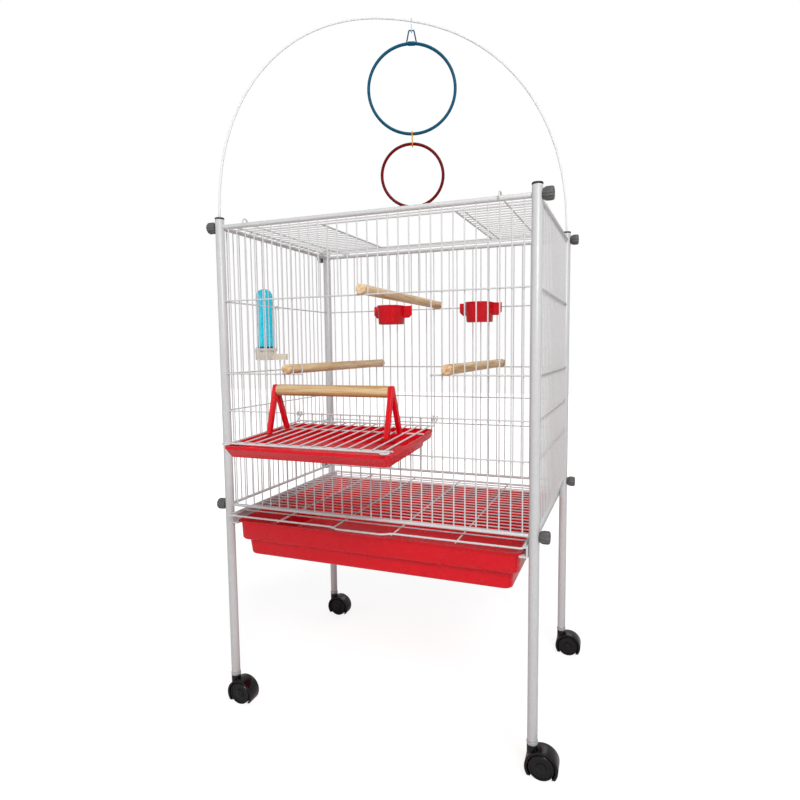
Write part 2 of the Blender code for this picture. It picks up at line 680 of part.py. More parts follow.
def add_runners(root, steel):
    """Folded runners along the sides: the tray slides on the lower ledge, the grate on the upper."""
    web = WIDTH / 2 - POST_CLEAR
    tray_ledge = TRAY_TOP - TRAY_FLANGE_T - GAP
    grate_ledge = GRATE_Z - EDGE_WIRE - GAP
    for side, out in (("left", -1), ("right", 1)):
        inner = web - RUNNER_WALL
        upper, lower = GRATE_HALF - GRATE_SEAT, TRAY_HALF + TRAY_RUN_GAP
        outline = [(web, tray_ledge - RUNNER_WALL), (web, grate_ledge),
                   (upper, grate_ledge), (upper, grate_ledge - RUNNER_WALL),
                   (inner, grate_ledge - RUNNER_WALL), (inner, tray_ledge),
                   (lower, tray_ledge), (lower, tray_ledge - RUNNER_WALL)]
        bm = bmesh.new()
        prism(bm, [(out * x, z) for x, z in outline], -POST_R, DEPTH + POST_R, "xzy")
        piece(f"runner_{side}", bm, steel, root)


def add_door(root, steel, red, wood):
    """Drop-down door: wire leaf, catch tray, two stands and a perch."""
    hinge = empty("door_hinge", (0.0, HINGE_Y, HINGE_Z), root, (DOOR_DROOP, 0.0, 0.0))

    rows = bmesh.new()
    for number in range(LEAF_ROWS):
        x = (2 * (number + 1) / (LEAF_ROWS + 1) - 1) * LEAF_HALF
        stay = number % 4 in (0, 3)
        foot = -(WIRE + GAP + BITE) if stay else -WIRE
        box(rows, (x - WIRE, -LEAF_LEN, foot - LEAF_DROP), (x + WIRE, -HINGE_BAR, WIRE - LEAF_DROP))
    leaf = piece("door_leaf", rows, steel, hinge)
    rim = bmesh.new()
    edge = [(-LEAF_HALF, -LEAF_LEN, -LEAF_DROP), (LEAF_HALF, -LEAF_LEN, -LEAF_DROP),
            (LEAF_HALF, -HINGE_BAR, -LEAF_DROP), (-LEAF_HALF, -HINGE_BAR, -LEAF_DROP)]
    sweep(rim, edge, LEAF_EDGE, (0, 0, 1), closed=True)
    combine(leaf, rim, "UNION")
    low = -LEAF_DROP - LAYER
    reach = LEAF_HALF + CATCH_TRAY_OUT - CATCH_TRAY_WALL / 2
    cross = bmesh.new()
    for y in (-LEAF_CROSS_NEAR, -LEAF_CROSS_FAR):
        box(cross, (-reach, y - WIRE, low - WIRE), (reach, y + WIRE, low + WIRE))
    middle = LEAF_HALF + HINGE_OUT
    for side in (-1, 1):
        stub = middle + WIRE - LEAF_HALF
        x = side * (LEAF_HALF + stub / 2)
        box(cross, (x - stub / 2, -HINGE_BAR - WIRE, -LEAF_DROP - WIRE), (x + stub / 2, -HINGE_BAR + WIRE, WIRE - LEAF_DROP))
    combine(leaf, cross, "UNION")
    arms = bmesh.new()
    for side in (-1, 1):
        spots = [(side * middle + HINGE_SPREAD * share, -HINGE_BAR * depth, -HINGE_RING - (LEAF_DROP - HINGE_RING) * depth)
                 for share, depth in ((-1, 0), (0, 1), (1, 0))]
        sweep(arms, spots, WIRE, (0, LEAF_DROP - HINGE_RING, -HINGE_BAR))
    combine(leaf, arms, "UNION")
    eyes = bmesh.new()
    ring = arc(HINGE_RING, 0, 360, EYE_STEPS)[:-1]
    for side in (-1, 1):
        for share in (-1, 1):
            x = side * middle + share * HINGE_SPREAD
            sweep(eyes, [(x, y, z) for y, z in ring], WIRE, (1, 0, 0), closed=True)
        spot = (side * (LEAF_HALF + LATCH_OUT), -LEAF_LEN - LATCH_AHEAD)
        loop = arc(LATCH_R, 0, 360, EYE_STEPS, spot)[:-1]
        sweep(eyes, [(px, py, -LEAF_DROP) for px, py in loop], WIRE, (0, 0, 1), closed=True)
    combine(leaf, eyes, "UNION")

    top = low - WIRE - GAP
    half = LEAF_HALF + CATCH_TRAY_OUT
    far = -LEAF_LEN - CATCH_TRAY_AHEAD
    wall = CATCH_TRAY_WALL
    bm = bmesh.new()
    add_bin(bm, half, -CATCH_TRAY_STEP, far, top, top - CATCH_TRAY_H, CATCH_TRAY_TAPER, CATCH_TRAY_RAKE)
    tray = piece("door_tray", bm, red, hinge)
    rear = bmesh.new()
    rear_half = half - CATCH_TRAY_REAR_IN
    add_bin(rear, rear_half, -CATCH_TRAY_BACK, -CATCH_TRAY_STEP - wall, top, top - CATCH_TRAY_REAR_H,
            CATCH_TRAY_TAPER, 0.0)
    combine(tray, rear, "UNION")
    well = bmesh.new()
    add_bin(well, half - wall, -CATCH_TRAY_STEP - wall, far + wall, top + wall, top - CATCH_TRAY_H + wall,
            CATCH_TRAY_TAPER, CATCH_TRAY_RAKE)
    combine(tray, well, "DIFFERENCE")
    pocket = bmesh.new()
    add_bin(pocket, rear_half - wall, -CATCH_TRAY_BACK - wall, -CATCH_TRAY_STEP - 3 * wall, top + wall,
            top - CATCH_TRAY_REAR_H + wall, CATCH_TRAY_TAPER, 0.0)
    combine(tray, pocket, "DIFFERENCE")

    foot = -LEAF_DROP + WIRE + GAP
    perch_z = foot + DOOR_PERCH_Z
    face = STAND_X - STAND_T / 2
    for side, out in (("left", -1), ("right", 1)):
        outer, inner = out * (STAND_X + STAND_T / 2), out * face
        bm = bmesh.new()
        prism(bm, stand_outline(perch_z, foot), min(outer, inner), max(outer, inner), "yzx", (0.0, -STAND_Y, 0.0))
        stand = piece(f"door_stand_{side}", bm, red, hinge)
        gap = bmesh.new()
        prism(gap, crotch_outline(perch_z, foot), -LEAF_HALF, LEAF_HALF, "yzx", (0.0, -STAND_Y, 0.0))
        combine(stand, gap, "DIFFERENCE")
        pin = bmesh.new()
        root_end, tip = inner + out * STAND_T / 2, inner - out * PIN_LEN
        turned(pin, [(0, root_end), (PIN_R, root_end), (PIN_R, tip), (0, tip)], RAIL_SIDES, "yzx",
               (0.0, -STAND_Y, perch_z))
        combine(stand, pin, "UNION")

    end = face - GAP
    bore, floor = PIN_R + PIN_FIT, face - PIN_LEN - GAP
    bm = bmesh.new()
    profile = [(0, -floor), (bore, -floor), (bore, -end), (DOOR_PERCH_R, -end)]
    turned(bm, profile + [(radius, -x) for radius, x in reversed(profile)], POST_SIDES, "yzx", (0.0, -STAND_Y, perch_z))
    piece("door_perch", bm, wood, hinge)


def stand_outline(perch_z, foot):
    """Outline of the A-shaped stand, with its top level with the perch's."""
    spread = (STAND_SPREAD + STAND_LEG) / 2
    top = perch_z + DOOR_PERCH_R
    return [(-spread, foot), (spread, foot), (STAND_APEX / 2, top), (-STAND_APEX / 2, top)]


def crotch_outline(perch_z, foot):
    """Outline of the gap between the stand's legs, open at the foot."""
    spread = (STAND_SPREAD - STAND_LEG) / 2
    peak = perch_z - STAND_CROTCH
    return [(-spread, foot), (-spread, foot - STAND_LEG), (spread, foot - STAND_LEG), (spread, foot),
            (STAND_APEX / 8, peak), (-STAND_APEX / 8, peak)]


def add_bin(bm, half, near, far, top, bottom, side_in, front_in):
    """Box whose sides slope in and whose front slopes back towards its floor."""
    rims = []
    for level, slope, rake in ((top, 0.0, 0.0), (bottom, side_in, front_in)):
        spots = [(-half + slope, far + rake), (half - slope, far + rake), (half - slope, near), (-half + slope, near)]
        rims.append([bm.verts.new((x, y, level)) for x, y in spots])
    bm.faces.new(rims[0])
    bm.faces.new(reversed(rims[1]))
    for number in range(4):
        after = (number + 1) % 4
        bm.faces.new((rims[0][number], rims[1][number], rims[1][after], rims[0][after]))


def add_arch(root, white, clear, blue, yellow, red):
    """Arch rod across the posts' diagonal, with two rings hanging from its crown."""
    heading = math.degrees(math.atan2(DEPTH, WIDTH))
    span = math.hypot(WIDTH, DEPTH)
    spring = POST_TOP + GAP + CAP_T
    middle = empty("arch_middle", (0.0, DEPTH / 2, 0.0), root, (0.0, 0.0, heading))

    path = [(-span / 2, 0.0, spring - ARCH_SEAT)]
    for number in range(ARCH_STEPS + 1):
        angle = math.pi * (1 - number / ARCH_STEPS)
        u, w = math.cos(angle), math.sin(angle)
        share = 2 / ARCH_POWER
        x = math.copysign(abs(u) ** share, u) * span / 2
        path.append((x, 0.0, spring + ARCH_RISE * abs(w) ** share))
    path.append((span / 2, 0.0, spring - ARCH_SEAT))
    bm = bmesh.new()
    sweep(bm, path, ARCH_R, (0, 1, 0), 6)
    piece("arch_rod", bm, white, middle)

    crown = height_on(path, RING_SHIFT)
    turn = math.radians(heading)
    spot = (RING_SHIFT * math.cos(turn), DEPTH / 2 + RING_SHIFT * math.sin(turn), 0.0)
    chain = empty("ring_chain", spot, root, (0.0, 0.0, RING_TURN))
    hanger_top = crown - CLIP_REACH
    blue_z = hanger_top - HANGER_H - BLUE_R
    blue_low = blue_z - BLUE_R
    red_top = blue_low - LINK_REACH
    clip = empty("clip_pivot", (0.0, 0.0, crown), chain)
    bm = bmesh.new()
    sweep(bm, link_path(ARCH_R, HANGER_R, CLIP_REACH), LINK_R, (1, 0, 0), 6, closed=True)
    piece("ring_clip", bm, clear, clip)

    ring = empty("blue_ring_pivot", (0.0, 0.0, hanger_top), chain)
    bm = bmesh.new()
    sweep(bm, ring_path(BLUE_R, blue_z - hanger_top), RING_TUBE, (0, 1, 0), 6, closed=True)
    item = piece("ring_blue", bm, blue, ring)
    hanger = bmesh.new()
    foot = -HANGER_H
    loop = [(-HANGER_HALF, 0.0, foot), (-HANGER_HALF / 2, 0.0, 0.0), (HANGER_HALF / 2, 0.0, 0.0),
            (HANGER_HALF, 0.0, foot)]
    sweep(hanger, loop, HANGER_R, (0, 1, 0), 6, closed=True)
    combine(item, hanger, "UNION")

    link = empty("link_pivot", (0.0, 0.0, blue_low), chain)
    bm = bmesh.new()
    sweep(bm, link_path(RING_TUBE, RING_TUBE, LINK_REACH), LINK_R, (1, 0, 0), 6, closed=True)
    piece("ring_link", bm, yellow, link)

    lower = empty("red_ring_pivot", (0.0, 0.0, red_top), chain)
    bm = bmesh.new()
    sweep(bm, ring_path(RED_R, -RED_R), RING_TUBE, (0, 1, 0), 6, closed=True)
    piece("ring_red", bm, red, lower)


def ring_path(radius, level):
    """Circle in the rings' plane."""
    return [(x, 0.0, z) for x, z in arc(radius, 90, 450, RING_STEPS, (0.0, level))][:-1]


def link_path(above, below, reach):
    """Long link round two tubes, across the rings' plane: it hangs from the upper one."""
    top = [(y, z * (above + GAP + LINK_R)) for y, z in arc(1.0, 0, 180, 6)]
    low = [(y, z * (below + SWING_FIT + LINK_R) - reach) for y, z in arc(1.0, 180, 360, 6)]
    return [(0.0, y * LINK_HALF, z) for y, z in top + low]


def height_on(path, reach):
    """Height of the arch rod's axis at a distance from its middle."""
    for one, two in zip(path, path[1:]):
        if one[0] <= reach <= two[0]:
            return one[2] + (two[2] - one[2]) * (reach - one[0]) / (two[0] - one[0])
    return path[-1][2]


def add_perches(root, wood):
    """Round perches from the front panel to the back, grooved to sit between the wires."""
    groove_front = LAYER + WIRE + GAP
    groove_back = WIRE + GAP
    for name, count, level in (("perch_high", 0, HIGH_WIRE_Z), ("perch_left", -PERCH_BAYS, MID_WIRE_Z),
                               ("perch_right", PERCH_BAYS, MID_WIRE_Z)):
        axis_z = level + WIRE + GAP + PERCH_GROOVE_R
        spots = [(-PERCH_OVER, PERCH_R), (-groove_front, PERCH_R), (-groove_front, PERCH_GROOVE_R),
                 (groove_back, PERCH_GROOVE_R), (groove_back, PERCH_R)]
        profile = [(0.0, -PERCH_OVER)] + [(r, y) for y, r in spots]
        profile += [(r, DEPTH - y) for y, r in reversed(spots)] + [(0.0, DEPTH + PERCH_OVER)]
        bm = bmesh.new()
        turned(bm, profile, PERCH_SIDES, "xzy", (bay_x(count), 0.0, axis_z))
        piece(name, bm, wood, root, (bay_x(count), 0.0, axis_z))


def cup_outline(radius, out):
    """Rounded bowl outline seen from above, open side on the back panel."""
    wall = DEPTH - WIRE - GAP - CUP_PLATE_T
    return [(-x, wall - y * out / radius) for x, y in arc(radius, 0, 180, 12)]


def add_cups(root, red):
    """Food cups hooked over the high cross wire of the back panel."""
    face = DEPTH - WIRE - GAP
    rim = HIGH_WIRE_Z + CUP_ABOVE
    for name, count, hook in (("cup_left", CUP_LEFT_BAYS, CUP_LEFT_HOOK_BAYS),
                              ("cup_right", CUP_RIGHT_BAYS, CUP_RIGHT_HOOK_BAYS)):
        x = bay_x(count)
        bm = bmesh.new()
        prism(bm, cup_outline(CUP_R, CUP_OUT), rim - CUP_H, rim, at=(x, 0.0, 0.0))
        cup = piece(name, bm, red, root)
        plate = bmesh.new()
        box(plate, (x - CUP_PLATE_W / 2, face - CUP_PLATE_T - BITE, rim - CUP_PLATE_H),
            (x + CUP_PLATE_W / 2, face, rim - GAP))
        combine(cup, plate, "UNION")
        well = bmesh.new()
        inner = [(px, min(py, face - CUP_PLATE_T - CUP_WALL)) for px, py in
                 cup_outline(CUP_R - CUP_WALL, CUP_OUT - CUP_WALL)]
        prism(well, inner, rim - CUP_H + CUP_WALL, rim + CUP_WALL, at=(x, 0.0, 0.0))
        combine(cup, well, "DIFFERENCE")
        hooks = bmesh.new()
        seat = HIGH_WIRE_Z + WIRE + GAP
        behind = DEPTH + LAYER + WIRE + GAP
        for side in (-1, 1):
            hx = x + side * bay_x(hook)
            outline = [(face - BITE, seat), (behind, seat), (behind, seat - CUP_HOOK_DROP),
                       (behind + CUP_HOOK_T, seat - CUP_HOOK_DROP), (behind + CUP_HOOK_T, seat + CUP_HOOK_T),
                       (face - BITE, seat + CUP_HOOK_T)]
            prism(hooks, outline, hx - CUP_HOOK_W / 2, hx + CUP_HOOK_W / 2, "yzx")
        combine(cup, hooks, "UNION")


def add_bottle(root, blue, cream, steel):
    """Water bottle upside down in its basin, hung outside the left panel."""
    x = -WIDTH / 2 - BOTTLE_OUT
    y = BOTTLE_ROW * PITCH
    inside = BASIN_R - BASIN_WALL
    seat = BASIN_Z + BASIN_H - BOTTLE_SEAT
    top = seat + BOTTLE_H
    bm = bmesh.new()
    turned(bm, [(0, BASIN_Z), (BASIN_R, BASIN_Z), (BASIN_R, BASIN_Z + BASIN_H), (0, BASIN_Z + BASIN_H)],
           BOTTLE_SIDES, at=(x, y, 0.0))
    basin = piece("bottle_basin", bm, cream, root)
    spout = bmesh.new()
    end = -WIDTH / 2 + SPOUT_REACH
    box(spout, (x, y - SPOUT_W / 2, BASIN_Z + GAP), (end, y + SPOUT_W / 2, BASIN_Z + SPOUT_H))
    combine(basin, spout, "UNION")
    well = bmesh.new()
    turned(well, [(0, seat - GAP), (inside, seat - GAP), (inside, BASIN_Z + 2 * BASIN_H), (0, BASIN_Z + 2 * BASIN_H)],
           BOTTLE_SIDES, at=(x, y, 0.0))
    combine(basin, well, "DIFFERENCE")
    trough = bmesh.new()
    wall = BASIN_WALL
    box(trough, (x + BASIN_R, y - SPOUT_W / 2 + wall, BASIN_Z + 2 * wall),
        (end - wall, y + SPOUT_W / 2 - wall, BASIN_Z + 2 * SPOUT_H))
    combine(basin, trough, "DIFFERENCE")
    channel = bmesh.new()
    box(channel, (x, y - SPOUT_W / 4, BASIN_Z + 2 * wall), (x + BASIN_R + wall, y + SPOUT_W / 4, seat + wall))
    combine(basin, channel, "DIFFERENCE")

    bm = bmesh.new()
    side = [(BOTTLE_R, seat)] + dome(BOTTLE_TOP_R, top)
    lining = dome(BOTTLE_TOP_R - BOTTLE_WALL, top - BOTTLE_WALL)
    mouth = BOTTLE_R - BOTTLE_WALL
    turned(bm, [(0, seat)] + side + [(0, top)], BOTTLE_SIDES, at=(x, y, 0.0))
    tube = piece("bottle_tube", bm, blue, root)
    hollow = bmesh.new()
    turned(hollow, [(0, seat - wall), (mouth, seat - wall)] + lining + [(0, top - BOTTLE_WALL)],
           BOTTLE_SIDES, at=(x, y, 0.0))
    combine(tube, hollow, "DIFFERENCE")

    grip = BASIN_R + GAP + HOLDER_R
    hang_z = HIGH_WIRE_Z
    level = BASIN_Z + HOLDER_Z
    panel_x = -WIDTH / 2 - LAYER
    bm = bmesh.new()
    hoop = [(px, py, level) for px, py in arc(grip / math.cos(math.pi / BOTTLE_SIDES), 0, 360, BOTTLE_SIDES, (x, y))]
    sweep(bm, hoop[:-1], HOLDER_R, (0, 0, 1), closed=True)
    holder = piece("bottle_holder", bm, steel, root)
    hanger = bmesh.new()
    over = WIRE + GAP + HOLDER_R
    crook = [(panel_x + over, hang_z - 2 * over), (panel_x + over, hang_z + over),
             (panel_x - over, hang_z + over), (panel_x - over, level)]
    for side in (-1, 1):
        hy = y + side * (BOTTLE_R / 3)
        sweep(hanger, [(px, hy, pz) for px, pz in crook], HOLDER_R, (0, 1, 0))
    combine(holder, hanger, "UNION")


def dome(radius, top):
    """Side of the bottle's round top, up to its crown."""
    return arc(radius, 0, 75, 4, (0.0, top - radius))


def recentre(root):
    """Move the cage so that its box stands on the origin by the middle of its base."""
    bpy.context.view_layer.update()
    shown = [item for item in bpy.data.objects if item.type == "MESH" and not item.hide_render]
    graph = bpy.context.evaluated_depsgraph_get()
    points = []
    for item in shown:
        done = item.evaluated_get(graph)
        mesh = done.to_mesh()
        points += [item.matrix_world @ vert.co for vert in mesh.vertices]
        done.to_mesh_clear()
    low = [min(point[axis] for point in points) for axis in range(3)]
    high = [max(point[axis] for point in points) for axis in range(3)]
    root.location = (-(low[0] + high[0]) / 2, -(low[1] + high[1]) / 2, -low[2])
    bpy.context.view_layer.update()


def main():
    empty_scene()
    steel = material("white_steel", (0.83, 0.83, 0.84), 0.35)
    grey = material("grey_steel", (0.62, 0.62, 0.64), 0.4)
    black = material("black_plastic", (0.02, 0.02, 0.02), 0.45)
    red = material("red_plastic", (0.75, 0.02, 0.04), 0.3)
    wood = material("pine", (0.72, 0.5, 0.3), 0.6)
    white = material("white_rod", (0.9, 0.9, 0.9), 0.3)
    clear = material("clear_plastic", (0.9, 0.95, 0.98), 0.15, alpha=0.6)
    blue = material("blue_plastic", (0.01, 0.22, 0.55), 0.35)
    yellow = material("yellow_plastic", (0.85, 0.6, 0.05), 0.35)
    aqua = material("aqua_plastic", (0.02, 0.6, 0.85), 0.1, alpha=0.6)
    cream = material("cream_plastic", (0.87, 0.84, 0.76), 0.4)

    root = empty("bird_cage", (0.0, 0.0, 0.0))
    add_posts(root, steel, black, grey)
    add_casters(root, black)
    add_knobs(root, black)
    add_panels(root, steel)
    add_roof(root, steel)
    add_grate(root, steel)
    add_tray(root, red)
    add_runners(root, steel)
    add_door(root, steel, red, wood)
    add_arch(root, white, clear, blue, yellow, red)
    add_perches(root, wood)
    add_cups(root, red)
    add_bottle(root, aqua, cream, steel)
    recentre(root)


main()
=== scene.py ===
"""Bird cage on castors, dressed for its picture.

Pieces are drawn in cage coordinates: X from the middle of the front, Y from the
axis of the front posts towards the back, Z from the floor, all in metres.
"""
import math

import bpy
from mathutils import Matrix, Vector


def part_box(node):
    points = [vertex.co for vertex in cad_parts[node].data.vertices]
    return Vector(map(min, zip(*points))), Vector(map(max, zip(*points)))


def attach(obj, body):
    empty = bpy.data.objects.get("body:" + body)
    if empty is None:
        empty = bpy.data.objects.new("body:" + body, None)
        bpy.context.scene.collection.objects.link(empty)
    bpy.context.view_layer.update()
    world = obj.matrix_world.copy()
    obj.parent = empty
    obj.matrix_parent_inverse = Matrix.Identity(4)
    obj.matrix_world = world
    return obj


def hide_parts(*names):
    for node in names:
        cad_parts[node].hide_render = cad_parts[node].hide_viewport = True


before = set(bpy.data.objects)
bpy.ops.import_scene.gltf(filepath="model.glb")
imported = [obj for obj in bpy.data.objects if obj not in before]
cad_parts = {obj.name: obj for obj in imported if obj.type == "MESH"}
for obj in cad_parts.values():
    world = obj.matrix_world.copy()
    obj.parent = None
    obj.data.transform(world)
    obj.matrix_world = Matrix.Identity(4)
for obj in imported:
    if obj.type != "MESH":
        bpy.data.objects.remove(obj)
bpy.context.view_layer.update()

# The cage's plan: bars a pitch apart, with the posts' axes a whole number of bays apart
PITCH = 0.017
BAYS_X = 31
BAYS_Y = 22
WIDTH = BAYS_X * PITCH
DEPTH = BAYS_Y * PITCH

# Heights of the rails and cross wires
FOOT = 0.0536             # foot of the post tubes
POST_TOP = FOOT + 0.794
RAIL = FOOT + 0.781       # top rail
HIGH = FOOT + 0.658       # highest cross wire, which carries cups and bottle
MID = FOOT + 0.535        # the low perches lie on it
SILL = FOOT + 0.471       # foot of the door's opening
LOW = FOOT + 0.413
BASE = FOOT + 0.306       # base rail
GRATE_Z = FOOT + 0.293
BASIN_Z = FOOT + 0.555    # floor of the bottle's basin

# Radii of tubes and wires, and the gaps between them
POST_R = 0.0075
RAIL_R = 0.0037
BASE_R = 0.0026
WIRE = 0.00105            # uprights and rows
CROSS = 0.0012            # cross wires and hooks
FRAME_WIRE = 0.0015       # edge wires of roof and grate
LAYER = 0.0022            # from the axes of one layer of wires to the next
GAP = 0.0003              # air between pieces that are pushed together
PEEK = 0.0025             # how far a wire's end reaches past the one it is welded to

# Turns, in degrees, and places along the arch
DOOR_SAG = 3.0
CHAIN_TURN = 20.0
CASTOR_TURN = 1.5
ARCH_SPRING = POST_TOP + 0.0033
ARCH_RISE = 0.354
RING_SHIFT = 0.014        # of the rings from the crown, along the rod

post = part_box("post_front_left")
PLACE = Matrix.Translation(((post[0][0] + post[1][0]) / 2 + WIDTH / 2, (post[0][1] + post[1][1]) / 2, 0.0))
DOOR = PLACE @ Matrix.Translation((0.0, -0.0023, SILL)) @ Matrix.Rotation(math.radians(DOOR_SAG), 4, "X")
HEADING = math.atan2(DEPTH, WIDTH)
ARCH = PLACE @ Matrix.Translation((0.0, DEPTH / 2, 0.0)) @ Matrix.Rotation(HEADING, 4, "Z")
CHAIN = (ARCH @ Matrix.Translation((RING_SHIFT, 0.0, 0.0))
         @ Matrix.Rotation(math.radians(CHAIN_TURN) - HEADING, 4, "Z"))
CORNERS = {
    "front_left": (-WIDTH / 2, 0.0), "front_right": (WIDTH / 2, 0.0),
    "back_left": (-WIDTH / 2, DEPTH), "back_right": (WIDTH / 2, DEPTH),
}


# Finishes

def linear(code):
    """An sRGB hex colour as linear red, green, blue and alpha."""
    parts = [int(code[i:i + 2], 16) / 255 for i in (1, 3, 5)]
    return (*[p / 12.92 if p <= 0.04045 else ((p + 0.055) / 1.055) ** 2.4 for p in parts], 1.0)


def node(tree, kind, links=(), **settings):
    """Add a node: settings name its properties or inputs, links join (from node, output, input)."""
    item = tree.nodes.new(kind)
    for key, value in settings.items():
        if hasattr(item, key):
            setattr(item, key, value)
        else:
            item.inputs[key.replace("_", " ")].default_value = value
    for source, output, target in links:
        tree.links.new(source.outputs[output], item.inputs[target])
    return item


def finish(name, **settings):
    """A new material with its Principled sockets set."""
    mat = bpy.data.materials.new(name)
    mat.use_nodes = True
    shader = mat.node_tree.nodes["Principled BSDF"]
    for key, value in settings.items():
        shader.inputs[key.replace("_", " ")].default_value = value
    return mat, shader


def mottle(mat, shader, light, dark, scale, bump, rough, detail=3.0):
    """Vary colour, roughness (from, to) and relief (strength, distance) by noise, at a scale per metre."""
    tree = mat.node_tree
    where = node(tree, "ShaderNodeTexCoord")
    cloud = node(tree, "ShaderNodeTexNoise", [(where, "Object", "Vector")], Scale=scale, Detail=detail)
    tint = node(tree, "ShaderNodeMix", [(cloud, "Fac", "Factor")], data_type="RGBA")
    tint.inputs[6].default_value = linear(light)
    tint.inputs[7].default_value = linear(dark)
    spread = node(tree, "ShaderNodeMapRange", [(cloud, "Fac", "Value")], To_Min=rough[0], To_Max=rough[1])
    relief = node(tree, "ShaderNodeBump", [(cloud, "Fac", "Height")], Strength=bump[0], Distance=bump[1])
    tree.links.new(tint.outputs[2], shader.inputs["Base Color"])
    tree.links.new(spread.outputs["Result"], shader.inputs["Roughness"])
    tree.links.new(relief.outputs["Normal"], shader.inputs["Normal"])


def enamel_finish(name, light, dark):
    """Baked white enamel on steel: glossy, with the fine ripple of orange peel."""
    mat, shader = finish(name)
    mottle(mat, shader, light, dark, 260.0, (0.12, 0.0004), rough=(0.26, 0.4))
    return mat


def styrene_finish(name, light, dark, bump=0.06, gloss=0.25):
    """Injection-moulded polystyrene: glossy, with faint flow marks."""
    mat, shader = finish(name, IOR=1.59, Specular_IOR_Level=gloss)
    mottle(mat, shader, light, dark, 45.0, (bump, 0.001), rough=(0.18, 0.34), detail=5.0)
    return mat


def nylon_finish(name, light, dark, rough=(0.38, 0.55), scale=900.0, gloss=0.5):
    """Moulded nylon with the fine spark-eroded grain that castors and knobs have."""
    mat, shader = finish(name, IOR=1.53, Specular_IOR_Level=gloss)
    mottle(mat, shader, light, dark, scale, (0.25, 0.0003), rough=rough)
    return mat


def pine_finish(name, along, dark, middle, pale):
    """Sanded pine dowel: darker grain lines run its length in a paler wood."""
    draw = 0.045
    stretch = {"X": (draw, 1.0, 1.0), "Y": (1.0, draw, 1.0)}[along]
    mat, shader = finish(name, Roughness=0.6)
    tree = mat.node_tree
    where = node(tree, "ShaderNodeTexCoord")
    size = node(tree, "ShaderNodeMapping", [(where, "Object", "Vector")], Scale=stretch)
    grain = node(tree, "ShaderNodeTexNoise", [(size, "Vector", "Vector")],
                 Scale=420.0, Detail=6.0, Distortion=0.6)
    broad = node(tree, "ShaderNodeTexNoise", [(size, "Vector", "Vector")], Scale=90.0, Detail=2.0)
    both = node(tree, "ShaderNodeMath", [(grain, "Fac", 0), (broad, "Fac", 1)], operation="MULTIPLY")
    ramp = node(tree, "ShaderNodeValToRGB", [(both, "Value", "Fac")])
    first, last = ramp.color_ramp.elements
    first.position, first.color = 0.14, linear(dark)
    last.position, last.color = 0.34, linear(pale)
    ramp.color_ramp.elements.new(0.23).color = linear(middle)
    relief = node(tree, "ShaderNodeBump", [(grain, "Fac", "Height")], Strength=0.3, Distance=0.0004)
    tree.links.new(ramp.outputs["Color"], shader.inputs["Base Color"])
    tree.links.new(relief.outputs["Normal"], shader.inputs["Normal"])
    return mat


def see_through_finish(name, light, dark, clear):
    """Blown or moulded clear plastic, tinted through its thickness."""
    mat, shader = finish(name, IOR=1.49, Transmission_Weight=clear)
    mottle(mat, shader, light, dark, 60.0, (0.05, 0.0008), rough=(0.08, 0.2))
    return mat


def collar_finish(name):
    """Zinc-plated collar with the dark specks of worn plating."""
    mat, shader = finish(name, Metallic=0.3)
    mottle(mat, shader, "#55565A", "#E6E6E8", 750.0, (0.3, 0.0003), rough=(0.35, 0.6), detail=6.0)
    return mat


WIRE_ENAMEL = enamel_finish("white_wire_enamel", "#E2E2E2", "#D0D0D1")
TUBE_ENAMEL = enamel_finish("white_tube_enamel", "#D8D8D8", "#C8C8CA")
ARCH_ENAMEL = enamel_finish("white_arch_enamel", "#FAFAFA", "#F0F0F1")
BLACK_NYLON = nylon_finish("black_nylon", "#242427", "#131315")
KNOB_NYLON = nylon_finish("grey_knob_nylon", "#6A6A67", "#3E3E3C", scale=420.0)
CASTOR_NYLON = nylon_finish("glossy_castor_nylon", "#101011", "#050506", rough=(0.14, 0.26), gloss=0.3)
TREAD_NYLON = nylon_finish("black_tread_nylon", "#121213", "#070708", rough=(0.2, 0.34), scale=500.0,
                           gloss=0.3)
SPECKLED_ZINC = collar_finish("speckled_zinc")
RED_STYRENE = styrene_finish("red_styrene", "#E8051F", "#D80319")
CREAM_STYRENE = styrene_finish("cream_styrene", "#F2E8D6", "#E4D8C2")
BLUE_VINYL = styrene_finish("blue_vinyl", "#02587A", "#024762", 0.2, 0.06)
RED_VINYL = styrene_finish("red_vinyl", "#7C040A", "#620308", 0.2, 0.06)
YELLOW_STYRENE = styrene_finish("yellow_styrene", "#E6A51F", "#D3921A")
AQUA_BOTTLE = see_through_finish("aqua_bottle_plastic", "#2EF2FF", "#20E4F8", 0.85)
AQUA_RIM = see_through_finish("aqua_rim_plastic", "#0B6C93", "#085A7D", 0.1)
CLEAR_CLIP = see_through_finish("clear_clip_plastic", "#E8F2F7", "#D5E4EC", 0.5)
PERCH_PINE = pine_finish("pine_dowel", "Y", "#C4945F", "#E6C596", "#F4DDB8")
# The door perch's pine is darker throughout than the other perches' pine: painted shade that stands in for
# the shade on its underside.
SHADED_DOOR_PINE = pine_finish("door_pine_painted_shade", "X", "#A87C4C", "#C8A16C", "#E0C092")


# Making

def pick_none():
    """Deselect everything."""
    bpy.ops.object.select_all(action="DESELECT")


def pick(*items):
    """Select these pieces only, with the first one active."""
    pick_none()
    for item in items:
        item.select_set(True)
    bpy.context.view_layer.objects.active = items[0]


def settle():
    """Bring a new primitive's place, turn and scale into its mesh."""
    item = bpy.context.active_object
    pick(item)
    bpy.ops.object.transform_apply(location=True, rotation=True, scale=True)
    return item


def apply_all(item):
    """Apply a piece's modifiers."""
    pick(item)
    for step in list(item.modifiers):
        bpy.ops.object.modifier_apply(modifier=step.name)
    return item


